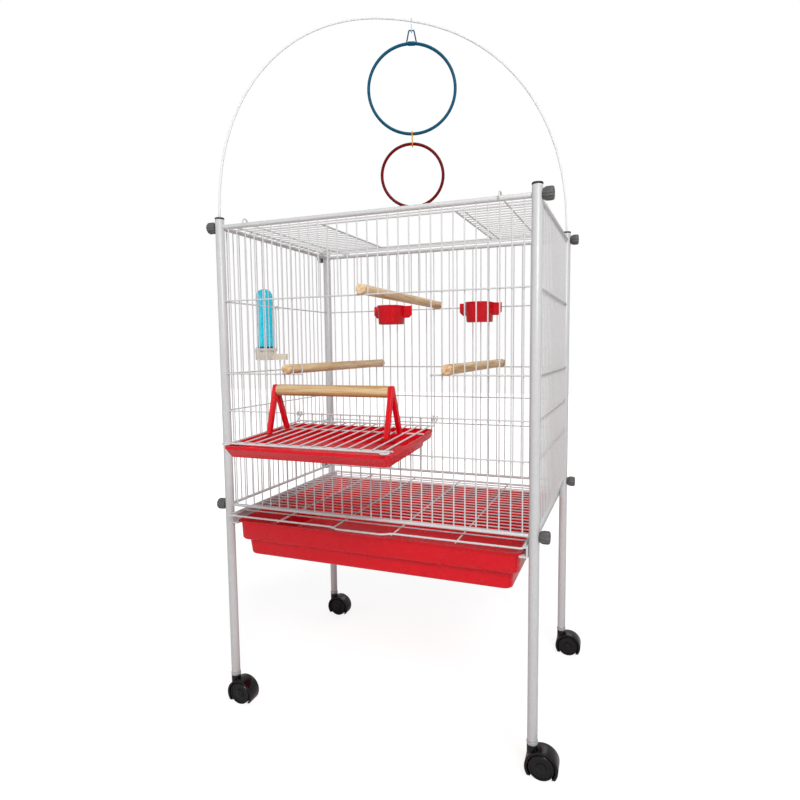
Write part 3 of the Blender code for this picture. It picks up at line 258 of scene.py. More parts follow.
def rod(start, end, radius, sides=12):
    """Straight round bar between two points."""
    start, end = Vector(start), Vector(end)
    along = end - start
    pick_none()
    turn = along.to_track_quat("Z", "Y").to_euler()
    bpy.ops.mesh.primitive_cylinder_add(vertices=sides, radius=radius, depth=along.length,
                                        location=(start + end) / 2, rotation=turn)
    return settle()


def repeat(item, count, step):
    """Copy a piece in a row."""
    row = item.modifiers.new("row", "ARRAY")
    row.use_relative_offset = False
    row.use_constant_offset = True
    row.constant_offset_displace = step
    row.count = count
    return apply_all(item)


def join(*items):
    """Make one object of several."""
    pick(*items)
    bpy.ops.object.join()
    return items[0]


def bent(points, radius, closed=False):
    """Wire bent along points."""
    line = bpy.data.curves.new("wire", "CURVE")
    line.dimensions = "3D"
    line.bevel_depth = radius
    line.bevel_resolution = 2
    line.use_fill_caps = True
    run = line.splines.new("POLY")
    run.points.add(len(points) - 1)
    for spot, point in zip(run.points, points):
        spot.co = (*point, 1.0)
    run.use_cyclic_u = closed
    item = bpy.data.objects.new("wire", line)
    bpy.context.scene.collection.objects.link(item)
    pick(item)
    bpy.ops.object.convert(target="MESH")
    return bpy.context.active_object


def rounded(points, radius, steps=5, closed=False):
    """A path with its corners rounded: each gives way to a curve that the corner pulls."""
    points = [Vector(point) for point in points]
    path = []
    for index, point in enumerate(points):
        inside = closed or 0 < index < len(points) - 1
        if not inside:
            path.append(point)
            continue
        before = points[index - 1] - point
        after = points[(index + 1) % len(points)] - point
        trim = min(radius, before.length / 2.2, after.length / 2.2)
        start, end = point + before.normalized() * trim, point + after.normalized() * trim
        for step in range(steps + 1):
            t = step / steps
            path.append(start * (1 - t) ** 2 + point * 2 * t * (1 - t) + end * t ** 2)
    return path


def ring_points(radius, centre, axis, steps=24, start=0.0, end=360.0):
    """Points round a circle about an axis, X, Y or Z."""
    spots = []
    for number in range(steps + 1):
        angle = math.radians(start + (end - start) * number / steps)
        u, v = radius * math.cos(angle), radius * math.sin(angle)
        shift = {"X": Vector((0, u, v)), "Y": Vector((u, 0, v)), "Z": Vector((u, v, 0))}[axis]
        spots.append(Vector(centre) + shift)
    return spots


def edit(item, mode="FACE"):
    """Open a piece for editing with nothing picked."""
    pick(item)
    bpy.ops.object.mode_set(mode="EDIT")
    bpy.ops.mesh.select_mode(type=mode)
    bpy.ops.mesh.select_all(action="DESELECT")


def close_edit():
    """Merge doubled points, turn every face outwards and stop editing."""
    bpy.ops.mesh.select_all(action="SELECT")
    bpy.ops.mesh.remove_doubles(threshold=0.000005)
    bpy.ops.mesh.normals_make_consistent(inside=False)
    bpy.ops.object.mode_set(mode="OBJECT")


def flat(points):
    """A flat face cut to an outline."""
    mesh = bpy.data.meshes.new("outline")
    mesh.from_pydata([tuple(point) for point in points], [], [tuple(range(len(points)))])
    item = bpy.data.objects.new("outline", mesh)
    bpy.context.scene.collection.objects.link(item)
    return item


def drawn_out(item, steps):
    """Extrude a face: each step is a shift, a scale and the point it scales about."""
    edit(item)
    bpy.ops.mesh.select_all(action="SELECT")
    for shift, scale, centre in steps:
        bpy.ops.mesh.extrude_region_move(TRANSFORM_OT_translate={"value": tuple(shift)})
        if tuple(scale) != (1, 1, 1):
            bpy.ops.transform.resize(value=tuple(scale), center_override=tuple(centre))
    close_edit()
    return item


def turned(sections, sides=48, ripple=None):
    """Round solid from (radius, height) pairs; ripple shapes its first outline."""
    (radius, height), *rest = sections
    shares = ripple or [1.0] * sides
    spots = []
    for number, share in enumerate(shares):
        angle = 2 * math.pi * number / len(shares)
        spots.append((radius * share * math.cos(angle), radius * share * math.sin(angle), height))
    steps = []
    for r, h in rest:
        steps.append(((0, 0, h - height), (r / radius, r / radius, 1), (0, 0, h)))
        radius, height = r, h
    return drawn_out(flat(spots), steps)


def bevelled(item, width, segments=3, angle=30.0):
    """Round every edge sharper than an angle."""
    soft = item.modifiers.new("soft", "BEVEL")
    soft.width = width
    soft.segments = segments
    soft.limit_method = "ANGLE"
    soft.angle_limit = math.radians(angle)
    return apply_all(item)


def cut(item, tool, operation="DIFFERENCE"):
    """Cut away or add a second solid, which is used up."""
    step = item.modifiers.new("cut", "BOOLEAN")
    step.object = tool
    step.operation = operation
    step.solver = "EXACT"
    apply_all(item)
    bpy.data.objects.remove(tool, do_unlink=True)
    return item


def uncapped(item, up):
    """Delete the end face that looks up (1) or down (-1)."""
    edit(item)
    bpy.ops.object.mode_set(mode="OBJECT")
    end = max(up * face.center.z for face in item.data.polygons)
    for face in item.data.polygons:
        face.select = up * face.center.z > end - 0.00001 and up * face.normal.z > 0.9
    bpy.ops.object.mode_set(mode="EDIT")
    bpy.ops.mesh.delete(type="FACE")
    close_edit()
    return item


def walled(item, wall, even=False):
    """Give an open shell a wall, on its inside."""
    thick = item.modifiers.new("wall", "SOLIDIFY")
    thick.thickness = wall
    thick.offset = -1.0
    thick.use_even_offset = even
    return apply_all(item)


def moved(item, matrix):
    """Move a piece's mesh."""
    item.data.transform(matrix)
    return item


def shifted(item, x, y, z):
    """Move a piece's mesh along the axes."""
    return moved(item, Matrix.Translation((x, y, z)))


def tipped(item, degrees, axis):
    """Turn a piece's mesh about an axis through the origin."""
    return moved(item, Matrix.Rotation(math.radians(degrees), 4, axis))


def done(item, name, body, mat, where, nodes):
    """Name, place and dress a finished piece, which rides a body and stands in for nodes."""
    pick(item)
    item.name = name
    item.data.name = name
    item.data.transform(where)
    item.data.materials.clear()
    item.data.materials.append(mat)
    bpy.ops.object.shade_smooth_by_angle(angle=math.radians(40.0))
    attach(item, body)
    if nodes:
        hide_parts(*nodes)
    return item


def bay(count):
    """X of a place counted in bays from the middle of the front."""
    return count * PITCH


# Wire panels

def make_panel(name, bays, where, door=False):
    """Uprights between two rails, with round cross wires welded outside them."""
    half = bays * PITCH / 2 - POST_R - GAP
    opening_from, opening_to = 10, 21
    parts = []

    def uprights(first, last, low, high):
        """Add a run of uprights, counted from the panel's left post, between two heights."""
        x = (first - bays / 2) * PITCH
        bar = rod((x, 0, low), (x, 0, high), WIRE)
        parts.append(repeat(bar, last - first + 1, (PITCH, 0, 0)))

    if door:
        uprights(1, opening_from - 1, BASE, RAIL)
        uprights(opening_to + 1, bays - 1, BASE, RAIL)
        uprights(opening_from, opening_to, BASE, SILL + CROSS)
        uprights(opening_from, opening_to, HIGH - CROSS, RAIL)
    else:
        uprights(1, bays - 1, BASE, RAIL)
    edge = bay(6.5) - CROSS
    for level in (HIGH, MID, SILL, LOW):
        if door and level == MID:
            parts.append(rod((-half, LAYER, level), (-edge, LAYER, level), CROSS))
            parts.append(rod((edge, LAYER, level), (half, LAYER, level), CROSS))
        else:
            parts.append(rod((-half, LAYER, level), (half, LAYER, level), CROSS))
    for level, radius in ((RAIL, RAIL_R), (BASE, BASE_R)):
        rail = rod((-half, 0, level), (half, 0, level), radius, 24)
        parts.append(bevelled(rail, 0.0008, 2))
    return done(join(*parts), name, "cage", WIRE_ENAMEL, where, [name.replace("_wires", "")])


# From a panel's own axes, X along it and Y out of the cage, to the cage's
FLIP = Matrix(((1, 0, 0, 0), (0, -1, 0, 0), (0, 0, 1, 0), (0, 0, 0, 1)))
LEFT = Matrix(((0, -1, 0, -WIDTH / 2), (1, 0, 0, DEPTH / 2), (0, 0, 1, 0), (0, 0, 0, 1)))
RIGHT = Matrix(((0, 1, 0, WIDTH / 2), (1, 0, 0, DEPTH / 2), (0, 0, 1, 0), (0, 0, 0, 1)))


def fix_winding(item):
    """Turn the faces of a mirrored piece outwards again."""
    edit(item)
    close_edit()
    return item


fix_winding(make_panel("front_panel_wires", BAYS_X, PLACE @ FLIP, door=True))
make_panel("back_panel_wires", BAYS_X, PLACE @ Matrix.Translation((0, DEPTH, 0)))
fix_winding(make_panel("right_panel_wires", BAYS_Y, PLACE @ RIGHT))
make_panel("left_panel_wires", BAYS_Y, PLACE @ LEFT)


# Roof

def make_roof():
    """Roof grille with its opening and the hooked cross wires."""
    row_z = RAIL + RAIL_R + 0.0012
    low_z = row_z - LAYER
    side = WIDTH / 2 - 0.0105      # edge wires
    rest = WIDTH / 2 + 0.002       # ends of the rows that lie on the side rails
    left, right = -bay(6.25), bay(7.5)
    first, last, gap_from, gap_to = 1, BAYS_Y - 1, 4, 19
    double = bay(8.4)
    hook_r, hook_x = 0.007, bay(12.5)
    hook_z = RAIL + 0.0025
    parts = []

    def rows(start, end, x0, x1, radius=WIRE):
        """Add a run of rows, counted from the front posts, between two sides."""
        bar = rod((x0, start * PITCH, row_z), (x1, start * PITCH, row_z), radius)
        parts.append(repeat(bar, end - start + 1, (0, PITCH, 0)))

    rows(first, first, -side, side)
    rows(first + 1, gap_from - 1, -rest, rest)
    rows(gap_from, gap_from, -side, side, FRAME_WIRE)
    rows(gap_from + 1, gap_to - 1, -rest, left)
    rows(gap_from + 1, gap_to - 1, right, rest)
    rows(gap_to, gap_to, -side, side, FRAME_WIRE)
    rows(gap_to + 1, last - 1, -rest, rest)
    rows(last, last, -side, side)
    near, far = first * PITCH - PEEK, last * PITCH + PEEK
    for x in (-side, side):
        parts.append(rod((x, near, row_z), (x, far, row_z), FRAME_WIRE))
    for x in (left, right):
        parts.append(rod((x, gap_from * PITCH, row_z), (x, gap_to * PITCH, row_z), FRAME_WIRE))
    parts.append(rod((double, gap_from * PITCH - PEEK, low_z), (double, gap_to * PITCH + PEEK, low_z), WIRE))
    start = math.degrees(math.asin((low_z - hook_z) / hook_r))
    for x in (-hook_x, hook_x):
        front = ring_points(hook_r, (x, 0, hook_z), "X", 14, 210.0, start)
        back = ring_points(hook_r, (x, DEPTH, hook_z), "X", 14, 180.0 - start, -30.0)
        parts.append(bent(front + back, CROSS))
    return done(join(*parts), "roof_wires", "cage", WIRE_ENAMEL, PLACE, ["roof_panel"])


make_roof()


# Floor grate and bottom tray

def make_grate():
    """Pull-out grate: rows, four cross wires beneath and an edge wire with a finger pull."""
    z = GRATE_Z
    half, front, back = 0.2510, -0.020, DEPTH - 0.010
    pull, inner, out = bay(3), bay(3) - 0.012, 0.009
    bar = rod((-half, PITCH, z), (half, PITCH, z), WIRE)
    parts = [repeat(bar, BAYS_Y - 1, (0, PITCH, 0))]
    edge = [(-half, front, z), (-pull, front, z), (-inner, front - out, z), (inner, front - out, z),
            (pull, front, z), (half, front, z), (half, back, z), (-half, back, z)]
    parts.append(bent(rounded(edge, 0.006, closed=True), FRAME_WIRE, closed=True))
    for count in (-9, -3, 3, 9):
        x = bay(count)
        parts.append(rod((x, front, z - LAYER), (x, back, z - LAYER), CROSS))
    return done(join(*parts), "grate_wires", "grate", WIRE_ENAMEL, PLACE, ["floor_grate"])


def open_tray(sections, corner, wall, rim):
    """Moulded tray: rounded rectangles (half width, front, back, height) from the rim down."""
    half, front, back, height = sections[0]
    pick_none()
    bpy.ops.mesh.primitive_plane_add(size=1.0, location=(0, (front + back) / 2, height))
    item = bpy.context.active_object
    item.scale = (2 * half, back - front, 1)
    item = settle()
    edit(item, "VERT")
    bpy.ops.mesh.select_all(action="SELECT")
    bpy.ops.mesh.bevel(offset=corner, segments=6, affect="VERTICES")
    bpy.ops.object.mode_set(mode="OBJECT")
    steps = []
    for next_half, next_front, next_back, next_height in sections[1:]:
        middle, next_middle = (front + back) / 2, (next_front + next_back) / 2
        shift = (0, next_middle - middle, next_height - height)
        scale = (next_half / half, (next_back - next_front) / (back - front), 1)
        steps.append((shift, scale, (0, next_middle, next_height)))
        half, front, back, height = next_half, next_front, next_back, next_height
    uncapped(drawn_out(item, steps), 1)
    walled(item, wall, even=True)
    return bevelled(item, rim, 2, 50.0)


def make_bottom_tray():
    """Red drawer tray: flange, upper band, and a lower body with a rounded foot."""
    top, step, foot = FOOT + 0.280, FOOT + 0.247, FOOT + 0.218
    half, front, back = 0.2425, -0.004, DEPTH - 0.006
    corner, wall, rim = 0.012, 0.0024, 0.0006
    sections = [(half + 0.005, front - 0.0025, back, height) for height in (top, top - wall)]
    for inset, height in (
            (0.0, top - 0.0026), (0.001, step + 0.003), (0.003, step), (0.010, step - 0.002),
            (0.012, foot + 0.005), (0.013, foot + 0.002), (0.015, foot + 0.0005), (0.018, foot)):
        sections.append((half - inset, front + inset, back - inset, height))
    item = open_tray(sections, corner, wall, rim)
    return done(item, "bottom_tray_shell", "tray", RED_STYRENE, PLACE, ["bottom_tray"])


make_grate()
make_bottom_tray()


# Door leaf with its catch tray, stands and perch

# In the door's own axes: X along its hinge, Y into the cage, Z up from the hinge
LEAF_HALF = 0.111
LEAF_LEN = 0.1875
LEAF_Z = -0.0105
HINGE_X = LEAF_HALF + 0.0055


def make_leaf():
    """Drop-down wire leaf with pairs of hinge eyes and wire loops at its free corners."""
    near, bays = -0.006, 13
    eye_r, loop_r, eye_wire = 0.0029, 0.0055, 0.0011
    step = 2 * LEAF_HALF / bays
    bar = rod((-LEAF_HALF + step, -LEAF_LEN, LEAF_Z), (-LEAF_HALF + step, near, LEAF_Z), WIRE)
    parts = [repeat(bar, bays - 1, (step, 0, 0))]
    edge = [(-LEAF_HALF, near, LEAF_Z), (-LEAF_HALF, -LEAF_LEN, LEAF_Z), (LEAF_HALF, -LEAF_LEN, LEAF_Z),
            (LEAF_HALF, near, LEAF_Z)]
    parts.append(bent(rounded(edge, 0.004), CROSS))
    parts.append(rod((-HINGE_X - 0.001, near, LEAF_Z), (HINGE_X + 0.001, near, LEAF_Z), CROSS))
    reach = LEAF_HALF + 0.0081
    for away in (0.060, 0.172):
        parts.append(rod((-reach, -away, LEAF_Z - LAYER), (reach, -away, LEAF_Z - LAYER), CROSS))
    for side in (-1, 1):
        x = side * HINGE_X
        left_eye = ring_points(eye_r, (x - 0.003, 0, 0), "X", 20, 240.0, -90.0)
        right_eye = ring_points(eye_r, (x + 0.003, 0, 0), "X", 20, -90.0, 240.0)
        parts.append(bent(left_eye + [Vector((x, near, LEAF_Z + 0.0008))] + right_eye, eye_wire))
        corner = (side * (LEAF_HALF + 0.004), -LEAF_LEN - 0.002, LEAF_Z)
        parts.append(bent(ring_points(loop_r, corner, "Z", 24, 0.0, 345.0), eye_wire))
    return done(join(*parts), "door_leaf_wires", "door", WIRE_ENAMEL, DOOR, ["door_leaf"])


def bin_solid(half, near, far, top, bottom, taper, rake, corner, lip=0.0):
    """Rounded box: an upright lip, then sides that slope in and a front that slopes back."""
    rim = [(-half, far, top), (half, far, top), (half, near, top), (-half, near, top)]
    block = flat(rounded(rim, corner, 6, closed=True))
    depth = near - far
    ledge, ledge_drop, edge, edge_rise = 0.0007, 0.0003, 0.001, 0.0014
    steps = []

    def narrow(drop, sides, front):
        """Add a step down that draws both sides and the front in."""
        steps.append(((0, 0, -drop), ((half - sides) / half, (depth - front) / depth, 1), (0, near, 0)))

    if lip:
        narrow(lip, 0.0, 0.0)
        narrow(ledge_drop, ledge, ledge)
        half, depth, top = half - ledge, depth - ledge, top - lip - ledge_drop
        taper, rake = taper - ledge, max(rake - ledge, 0.0)
    narrow(top - bottom - edge_rise, taper, rake)
    half, depth = half - taper, depth - rake
    narrow(edge_rise, edge, edge)
    return drawn_out(block, steps)


def make_door_tray():
    """Red catch tray under the leaf: a raked front, and a narrower, shallower rear part."""
    top = LEAF_Z - 0.0036
    half, near, step, far = 0.120, -0.012, -0.054, -0.1905
    rear_half = half - 0.0035
    floor, rear_floor = top - 0.0165, top - 0.014
    wall, taper, rake, lip = 0.0018, 0.003, 0.008, 0.0042
    above = top + 0.001
    tray = bin_solid(half, step, far, top, floor, taper, rake, 0.006, lip)
    cut(tray, bin_solid(rear_half, near, step - wall, top, rear_floor, taper, 0.0, 0.0015, lip), "UNION")
    cut(tray, bin_solid(half - wall, step - wall, far + wall, above, floor + wall, taper, rake, 0.0045))
    cut(tray, bin_solid(rear_half - wall, near - wall, step - 3 * wall, above, rear_floor + wall,
                        taper, 0.0, 0.001))
    bevelled(tray, 0.0005, 3, 35.0)
    return done(tray, "door_tray_shell", "door", RED_STYRENE, DOOR, ["door_tray"])


STAND_X, STAND_Y, STAND_T = 0.0905, -0.102, 0.0065
STAND_FOOT = LEAF_Z + 0.0013
PERCH_UP = STAND_FOOT + 0.061
PERCH_R = 0.008
PIN_R, PIN_LEN = 0.002, 0.008


def make_stand(side):
    """A-shaped stand with rounded edges; a pin on its inner face carries the perch."""
    out = 1 if side == "right" else -1
    x = out * STAND_X - STAND_T / 2
    over = 0.002

    def wedge(start, thick, foot_half, foot, top_half, top, round_off=0.0):
        """Slab in the stand's plane that narrows towards its top."""
        line = [(-foot_half, foot), (foot_half, foot), (top_half, top), (-top_half, top)]
        spots = [(start, STAND_Y + y, z) for y, z in line]
        face = flat(rounded(spots, round_off, 5, closed=True) if round_off else spots)
        return drawn_out(face, [((thick, 0, 0), (1, 1, 1), (0, 0, 0))])

    legs = wedge(x, STAND_T, 0.02725, STAND_FOOT, 0.0036, PERCH_UP + PERCH_R, 0.0034)
    cut(legs, wedge(x - over, STAND_T + 2 * over, 0.0215, STAND_FOOT - 0.004, 0.0009, PERCH_UP - 0.007))
    tip = out * (STAND_X - STAND_T / 2 - PIN_LEN)
    cut(legs, rod((out * STAND_X, STAND_Y, PERCH_UP), (tip, STAND_Y, PERCH_UP), PIN_R, 24), "UNION")
    bevelled(legs, 0.0011, 3)
    return done(legs, f"door_stand_{side}_moulding", "door", RED_STYRENE, DOOR,
                [f"door_stand_{side}"])


def dowel(length, radius, grooves=()):
    """Dowel along Z from 0, with softened ends and turned grooves (from, to, radius)."""
    slope = 0.0002
    ends = [(radius - 0.0012, 0.0), (radius - 0.0004, 0.0005), (radius, 0.0014)]
    sections = list(ends)
    for start, end, small in grooves:
        sections += [(radius, start - slope), (small, start + slope)]
        sections += [(small, end - slope), (radius, end + slope)]
    sections += [(r, length - z) for r, z in reversed(ends)]
    return turned(sections, 40)


def make_door_perch():
    """Short dowel between the stands, bored at both ends for their pins."""
    half = STAND_X - STAND_T / 2 - GAP
    bore, beyond = PIN_LEN + 0.0005, 0.001
    item = dowel(2 * half, PERCH_R)
    for low, high in ((-beyond, bore), (2 * half - bore, 2 * half + beyond)):
        cut(item, rod((0, 0, low), (0, 0, high), PIN_R + 0.0004, 24))
    tipped(item, 90, "Y")
    shifted(item, -half, STAND_Y, PERCH_UP)
    # Its pine carries painted shade: darker colours in place of the shade under the dowel.
    return done(item, "door_perch_dowel", "door", SHADED_DOOR_PINE, DOOR, ["door_perch"])


make_leaf()
make_door_tray()
make_stand("left")
make_stand("right")
make_door_perch()


# Perches, cups and bottle

def make_perch(name, count, level):
    """Dowel whose turned grooves sit on the cross wires of the front and back panels."""
    over, outer, inner, groove_r = 0.010, 0.0036, 0.0013, 0.0066
    length = DEPTH + 2 * over
    axis_z = level + 0.0081
    grooves = [(over - outer, over + inner, groove_r),
               (length - over - inner, length - over + outer, groove_r)]
    item = tipped(dowel(length, PERCH_R, grooves), -90, "X")
    shifted(item, bay(count), -over, axis_z)
    return done(item, f"{name}_dowel", "cage", PERCH_PINE, PLACE, [name])


def make_cup(name, count, hook):
    """Food cup: faceted bowl in front of a wide back plate with two hooks."""
    x = bay(count)
    face = DEPTH - 0.0013
    wall_y = face - 0.0025
    bowl_half, bowl_deep, bowl_high, facets, squareness = 0.0285, 0.044, 0.040, 18, 0.72
    rim = HIGH + 0.009
    spots = []
    for number in range(facets + 1):
        angle = math.pi * number / facets
        u = math.copysign(abs(math.cos(angle)) ** squareness, math.cos(angle))
        w = math.sin(angle) ** squareness
        spots.append((x + bowl_half * u, wall_y - bowl_deep * w, rim))
    bowl = flat(spots)
    centre = (x, wall_y, 0)
    drawn_out(bowl, [((0, 0, -0.0015), (1, 1, 1), centre), ((0, 0, -0.0005), (0.975, 0.975, 1), centre),
                     ((0, 0, 0.0035 - bowl_high), (0.93, 0.93, 1), centre),
                     ((0, 0, -0.0015), (0.96, 0.96, 1), centre)])
    well = flat([(px, py, rim + 0.001) for px, py, _ in spots])
    drawn_out(well, [((0, 0, 0.001 - bowl_high), (0.84, 0.84, 1), centre)])
    edit(well)
    bpy.ops.mesh.select_all(action="SELECT")
    bpy.ops.transform.resize(value=(0.92, 0.92, 1), center_override=(x, wall_y - 0.021, 0))
    bpy.ops.object.mode_set(mode="OBJECT")
    half, high, low, chamfer = 0.044, rim - GAP, rim - 0.026, 0.007
    outline = [(x - half, high), (x + half, high), (x + half, low + chamfer), (x + half - chamfer, low),
               (x - half + chamfer, low), (x - half, low + chamfer)]
    plate = flat([(px, wall_y - 0.001, pz) for px, pz in outline])
    drawn_out(plate, [((0, face - wall_y + 0.001, 0), (1, 1, 1), centre)])
    cut(bowl, plate, "UNION")
    cut(bowl, well)
    bevelled(bowl, 0.0006, 2, 40.0)
    hooks = []
    behind, over = DEPTH + 0.0046, HIGH + 0.0026
    for side in (-1, 1):
        hx = x + side * bay(hook)
        path = [(hx, face - 0.001, over), (hx, behind, over), (hx, behind, HIGH - 0.0045)]
        hooks.append(bent(rounded(path, 0.002), CROSS))
    return done(join(bowl, *hooks), f"{name}_moulding", name, RED_STYRENE, PLACE, [name])


BOTTLE = (-WIDTH / 2 - 0.0265, 9.5 * PITCH)
BASIN_R, BASIN_HIGH, BASIN_FLOOR = 0.0205, 0.023, 0.0148


def make_bottle():
    """Fluted blue tube with a domed top and a dark rim, mouth down in its basin."""
    x, y = BOTTLE
    seat = BASIN_Z + BASIN_HIGH - 0.008
    top = seat + 0.124
    flutes, around = 12, 96
    ripple = [1.0 - 0.028 * (0.5 + 0.5 * math.cos(2 * math.pi * flutes * n / around)) for n in range(around)]
    dome = [(0.0160, 0.0150), (0.0153, 0.0100), (0.0132, 0.0055), (0.0098, 0.0022), (0.0055, 0.0005),
            (0.0020, 0.0)]
    sections = [(0.0175, seat + 0.009), (0.0174, seat + 0.011)]
    sections += [(radius, top - down) for radius, down in dome]
    tube = walled(uncapped(turned(sections, around, ripple), -1), 0.0012)
    shifted(tube, x, y, 0)
    neck = turned([(0.0172, seat), (0.0176, seat + 0.001), (0.0176, seat + 0.0085), (0.0182, seat + 0.0090),
                   (0.0182, seat + 0.0105), (0.0174, seat + 0.0112)], 48)
    shifted(neck, x, y, 0)
    done(neck, "bottle_rim", "bottle", AQUA_RIM, PLACE, ())
    return done(tube, "bottle_blown_tube", "bottle", AQUA_BOTTLE, PLACE, ["bottle_tube"])


def make_basin():
    """Cream basin with a drinking spout that reaches between the wires."""
    x, y = BOTTLE
    cup = turned([(0.0185, BASIN_Z), (0.0198, BASIN_Z + 0.0008), (0.0203, BASIN_Z + 0.002),
                  (BASIN_R, BASIN_Z + BASIN_HIGH)], 64)
    well = turned([(0.0186, BASIN_Z + BASIN_FLOOR), (0.0188, BASIN_Z + 0.030)], 64)
    shifted(cup, x, y, 0)
    shifted(well, x, y, 0)

    def tongue(start, end, half, chamfer, tip_half, low, high):
        """Flat bar from the basin inwards, with a chamfered tip."""
        side = [(start, half), (end - chamfer, half), (end, tip_half)]
        outline = [(px, y - w) for px, w in side] + [(px, y + w) for px, w in reversed(side)]
        face = flat([(px, py, BASIN_Z + low) for px, py in outline])
        return drawn_out(face, [((0, 0, high - low), (1, 1, 1), (0, 0, 0))])

    end = -WIDTH / 2 + 0.022
    spout = tongue(x, end, 0.0055, 0.004, 0.0025, 0.0003, 0.012)
    trough = tongue(x + BASIN_R, end - 0.0015, 0.004, 0.003, 0.0018, 0.003, 0.023)
    cut(cup, spout, "UNION")
    cut(cup, well)
    cut(cup, trough)
    bevelled(cup, 0.0005, 2, 40.0)
    return done(cup, "basin_moulding", "cage", CREAM_STYRENE, PLACE, ["bottle_basin"])


def make_holder():
    """Wire hoop round the basin, hung over the high cross wire."""
    x, y = BOTTLE
    wire = 0.001
    level = BASIN_Z + 0.0185
    hoop = ring_points(BASIN_R + GAP + wire, (x, y, level), "Z", 48)[:-1]
    parts = [bent(hoop, wire, closed=True)]
    over = 0.0023
    panel_x = -WIDTH / 2 - over
    for side in (-1, 1):
        hy = y + side * 0.0058
        crook = [(panel_x + over, hy, HIGH - 2 * over), (panel_x + over, hy, HIGH + over),
                 (panel_x - over, hy, HIGH + over), (panel_x - over, hy, level)]
        parts.append(bent(rounded(crook, 0.0018), wire))
    return done(join(*parts), "holder_wires", "cage", WIRE_ENAMEL, PLACE, ["bottle_holder"])


make_perch("perch_high", 0, HIGH)
make_perch("perch_left", -8, MID)
make_perch("perch_right", 8, MID)
make_cup("cup_left", -6, 2)
make_cup("cup_right", 5.5, 1.5)
make_bottle()
make_basin()
make_holder()


# Posts, caps, knobs and castors

CASTOR_TOP = 0.0476
TRAIL, WHEEL_R = 0.0142, 0.0195            # the axle's place: behind the stem, over the floor
WHEEL_IN, WHEEL_OUT = 0.0043, 0.0125       # a wheel's faces, from the middle of the castor
AXLE_R = 0.003


def make_corner(name):
    """Tube post with its cap, castor socket, castor and two thumb knobs."""
    x, y = CORNERS[name]
    here = PLACE @ Matrix.Translation((x, y, 0))
    tube = turned([(POST_R - 0.0004, FOOT), (POST_R, FOOT + 0.0006), (POST_R, POST_TOP - 0.0006),
                   (POST_R - 0.0004, POST_TOP)], 48)
    done(tube, f"post_{name}_tube", "cage", TUBE_ENAMEL, here, [f"post_{name}"])
    seat = POST_TOP + GAP
    cap = turned([(0.0075, seat), (0.0079, seat + 0.0005), (0.0079, seat + 0.0018), (0.0072, seat + 0.0027),
                  (0.0050, seat + 0.0030)], 48)
    done(cap, f"cap_{name}_plug", "cage", BLACK_NYLON, here, [f"cap_{name}"])
    low, high = CASTOR_TOP + GAP, FOOT - GAP
    collar = turned([(0.0078, low), (0.0083, low + 0.0006), (0.0083, high - 0.0006), (0.0078, high)], 48)
    done(collar, f"socket_{name}_collar", "cage", SPECKLED_ZINC, here, [f"socket_{name}"])
    for level_name, level in (("top", RAIL), ("base", BASE)):
        make_knob(f"knob_{level_name}_{name}", x, y, level)
    make_castor(name, here @ Matrix.Rotation(math.radians(CASTOR_TURN), 4, "Z"))


def make_knob(name, x, y, level):
    """Ribbed thumb knob: short neck, grip and slightly domed end."""
    around, ribs = 96, 12
    ripple = [0.95 + 0.05 * math.cos(2 * math.pi * ribs * n / around) for n in range(around)]
    start = POST_R + GAP
    profile = [(0.0074, 0.0), (0.0080, 0.0005), (0.0083, 0.0020), (0.0094, 0.0032),
               (0.0098, 0.0060), (0.0098, 0.0115), (0.0092, 0.0135), (0.0078, 0.0145)]
    item = turned([(radius, start + out) for radius, out in profile], around, ripple)
    cut(item, turned([(0.0050, start + 0.0134), (0.0052, start + 0.016)], 32))
    tipped(item, math.copysign(90.0, x), "Y")
    bevelled(item, 0.0003, 2, 60.0)
    return done(item, f"{name}_grip", name, KNOB_NYLON, PLACE @ Matrix.Translation((x, y, level)),
                [name])


def make_wheel(side):
    """One wheel: rounded tread, raised rim line, dished face, hub boss."""
    inside = [(0.0182, 0.0), (0.0191, 0.0009), (WHEEL_R, 0.0025)]
    outside = [(WHEEL_R, 0.0030), (0.0191, 0.0011), (0.0181, 0.0001), (0.0168, 0.0), (0.0160, 0.0003),
               (0.0155, 0.0014), (0.0090, 0.0020), (0.0079, 0.0018), (0.0072, 0.0005), (0.0060, 0.0001),
               (0.0032, 0.0)]
    item = turned([(radius, WHEEL_IN + out) for radius, out in inside]
                  + [(radius, WHEEL_OUT - back) for radius, back in outside], 64)
    tipped(item, -90.0 * side, "X")
    return shifted(item, TRAIL, 0, WHEEL_R)


def make_castor(name, here):
    """Twin-wheel castor: hood over the wheels, neck, and two wheels on their axle."""
    hood = flat(ring_points(WHEEL_R + 0.0049, (TRAIL, -WHEEL_OUT, WHEEL_R), "Y", 40, -35.0, 215.0))
    drawn_out(hood, [((0, 2 * WHEEL_OUT, 0), (1, 1, 1), (0, 0, 0))])
    neck = turned([(0.0080, 0.026), (0.0080, CASTOR_TOP - 0.0014), (0.0076, CASTOR_TOP - 0.0004),
                   (0.0068, CASTOR_TOP)], 48)
    cut(hood, neck, "UNION")

    def across(start, end, radius, sides):
        """Round bar along the axle."""
        return rod((TRAIL, start, WHEEL_R), (TRAIL, end, WHEEL_R), radius, sides)

    web, beyond = WHEEL_IN - GAP, 0.02
    for low, high in ((-beyond, -web), (web, beyond)):
        cut(hood, across(low, high, WHEEL_R + 0.0012, 64))
    cut(hood, across(-beyond, beyond, AXLE_R + 0.0004, 32))
    bevelled(hood, 0.0009, 3, 35.0)
    done(hood, f"yoke_{name}_hood", f"caster_{name}", CASTOR_NYLON, here, [f"yoke_{name}"])
    axle = across(-WHEEL_IN - GAP, WHEEL_IN + GAP, AXLE_R, 32)
    pair = join(make_wheel(-1), make_wheel(1), axle)
    done(pair, f"wheels_{name}_pair", f"wheels_{name}", TREAD_NYLON, here, [f"wheels_{name}"])


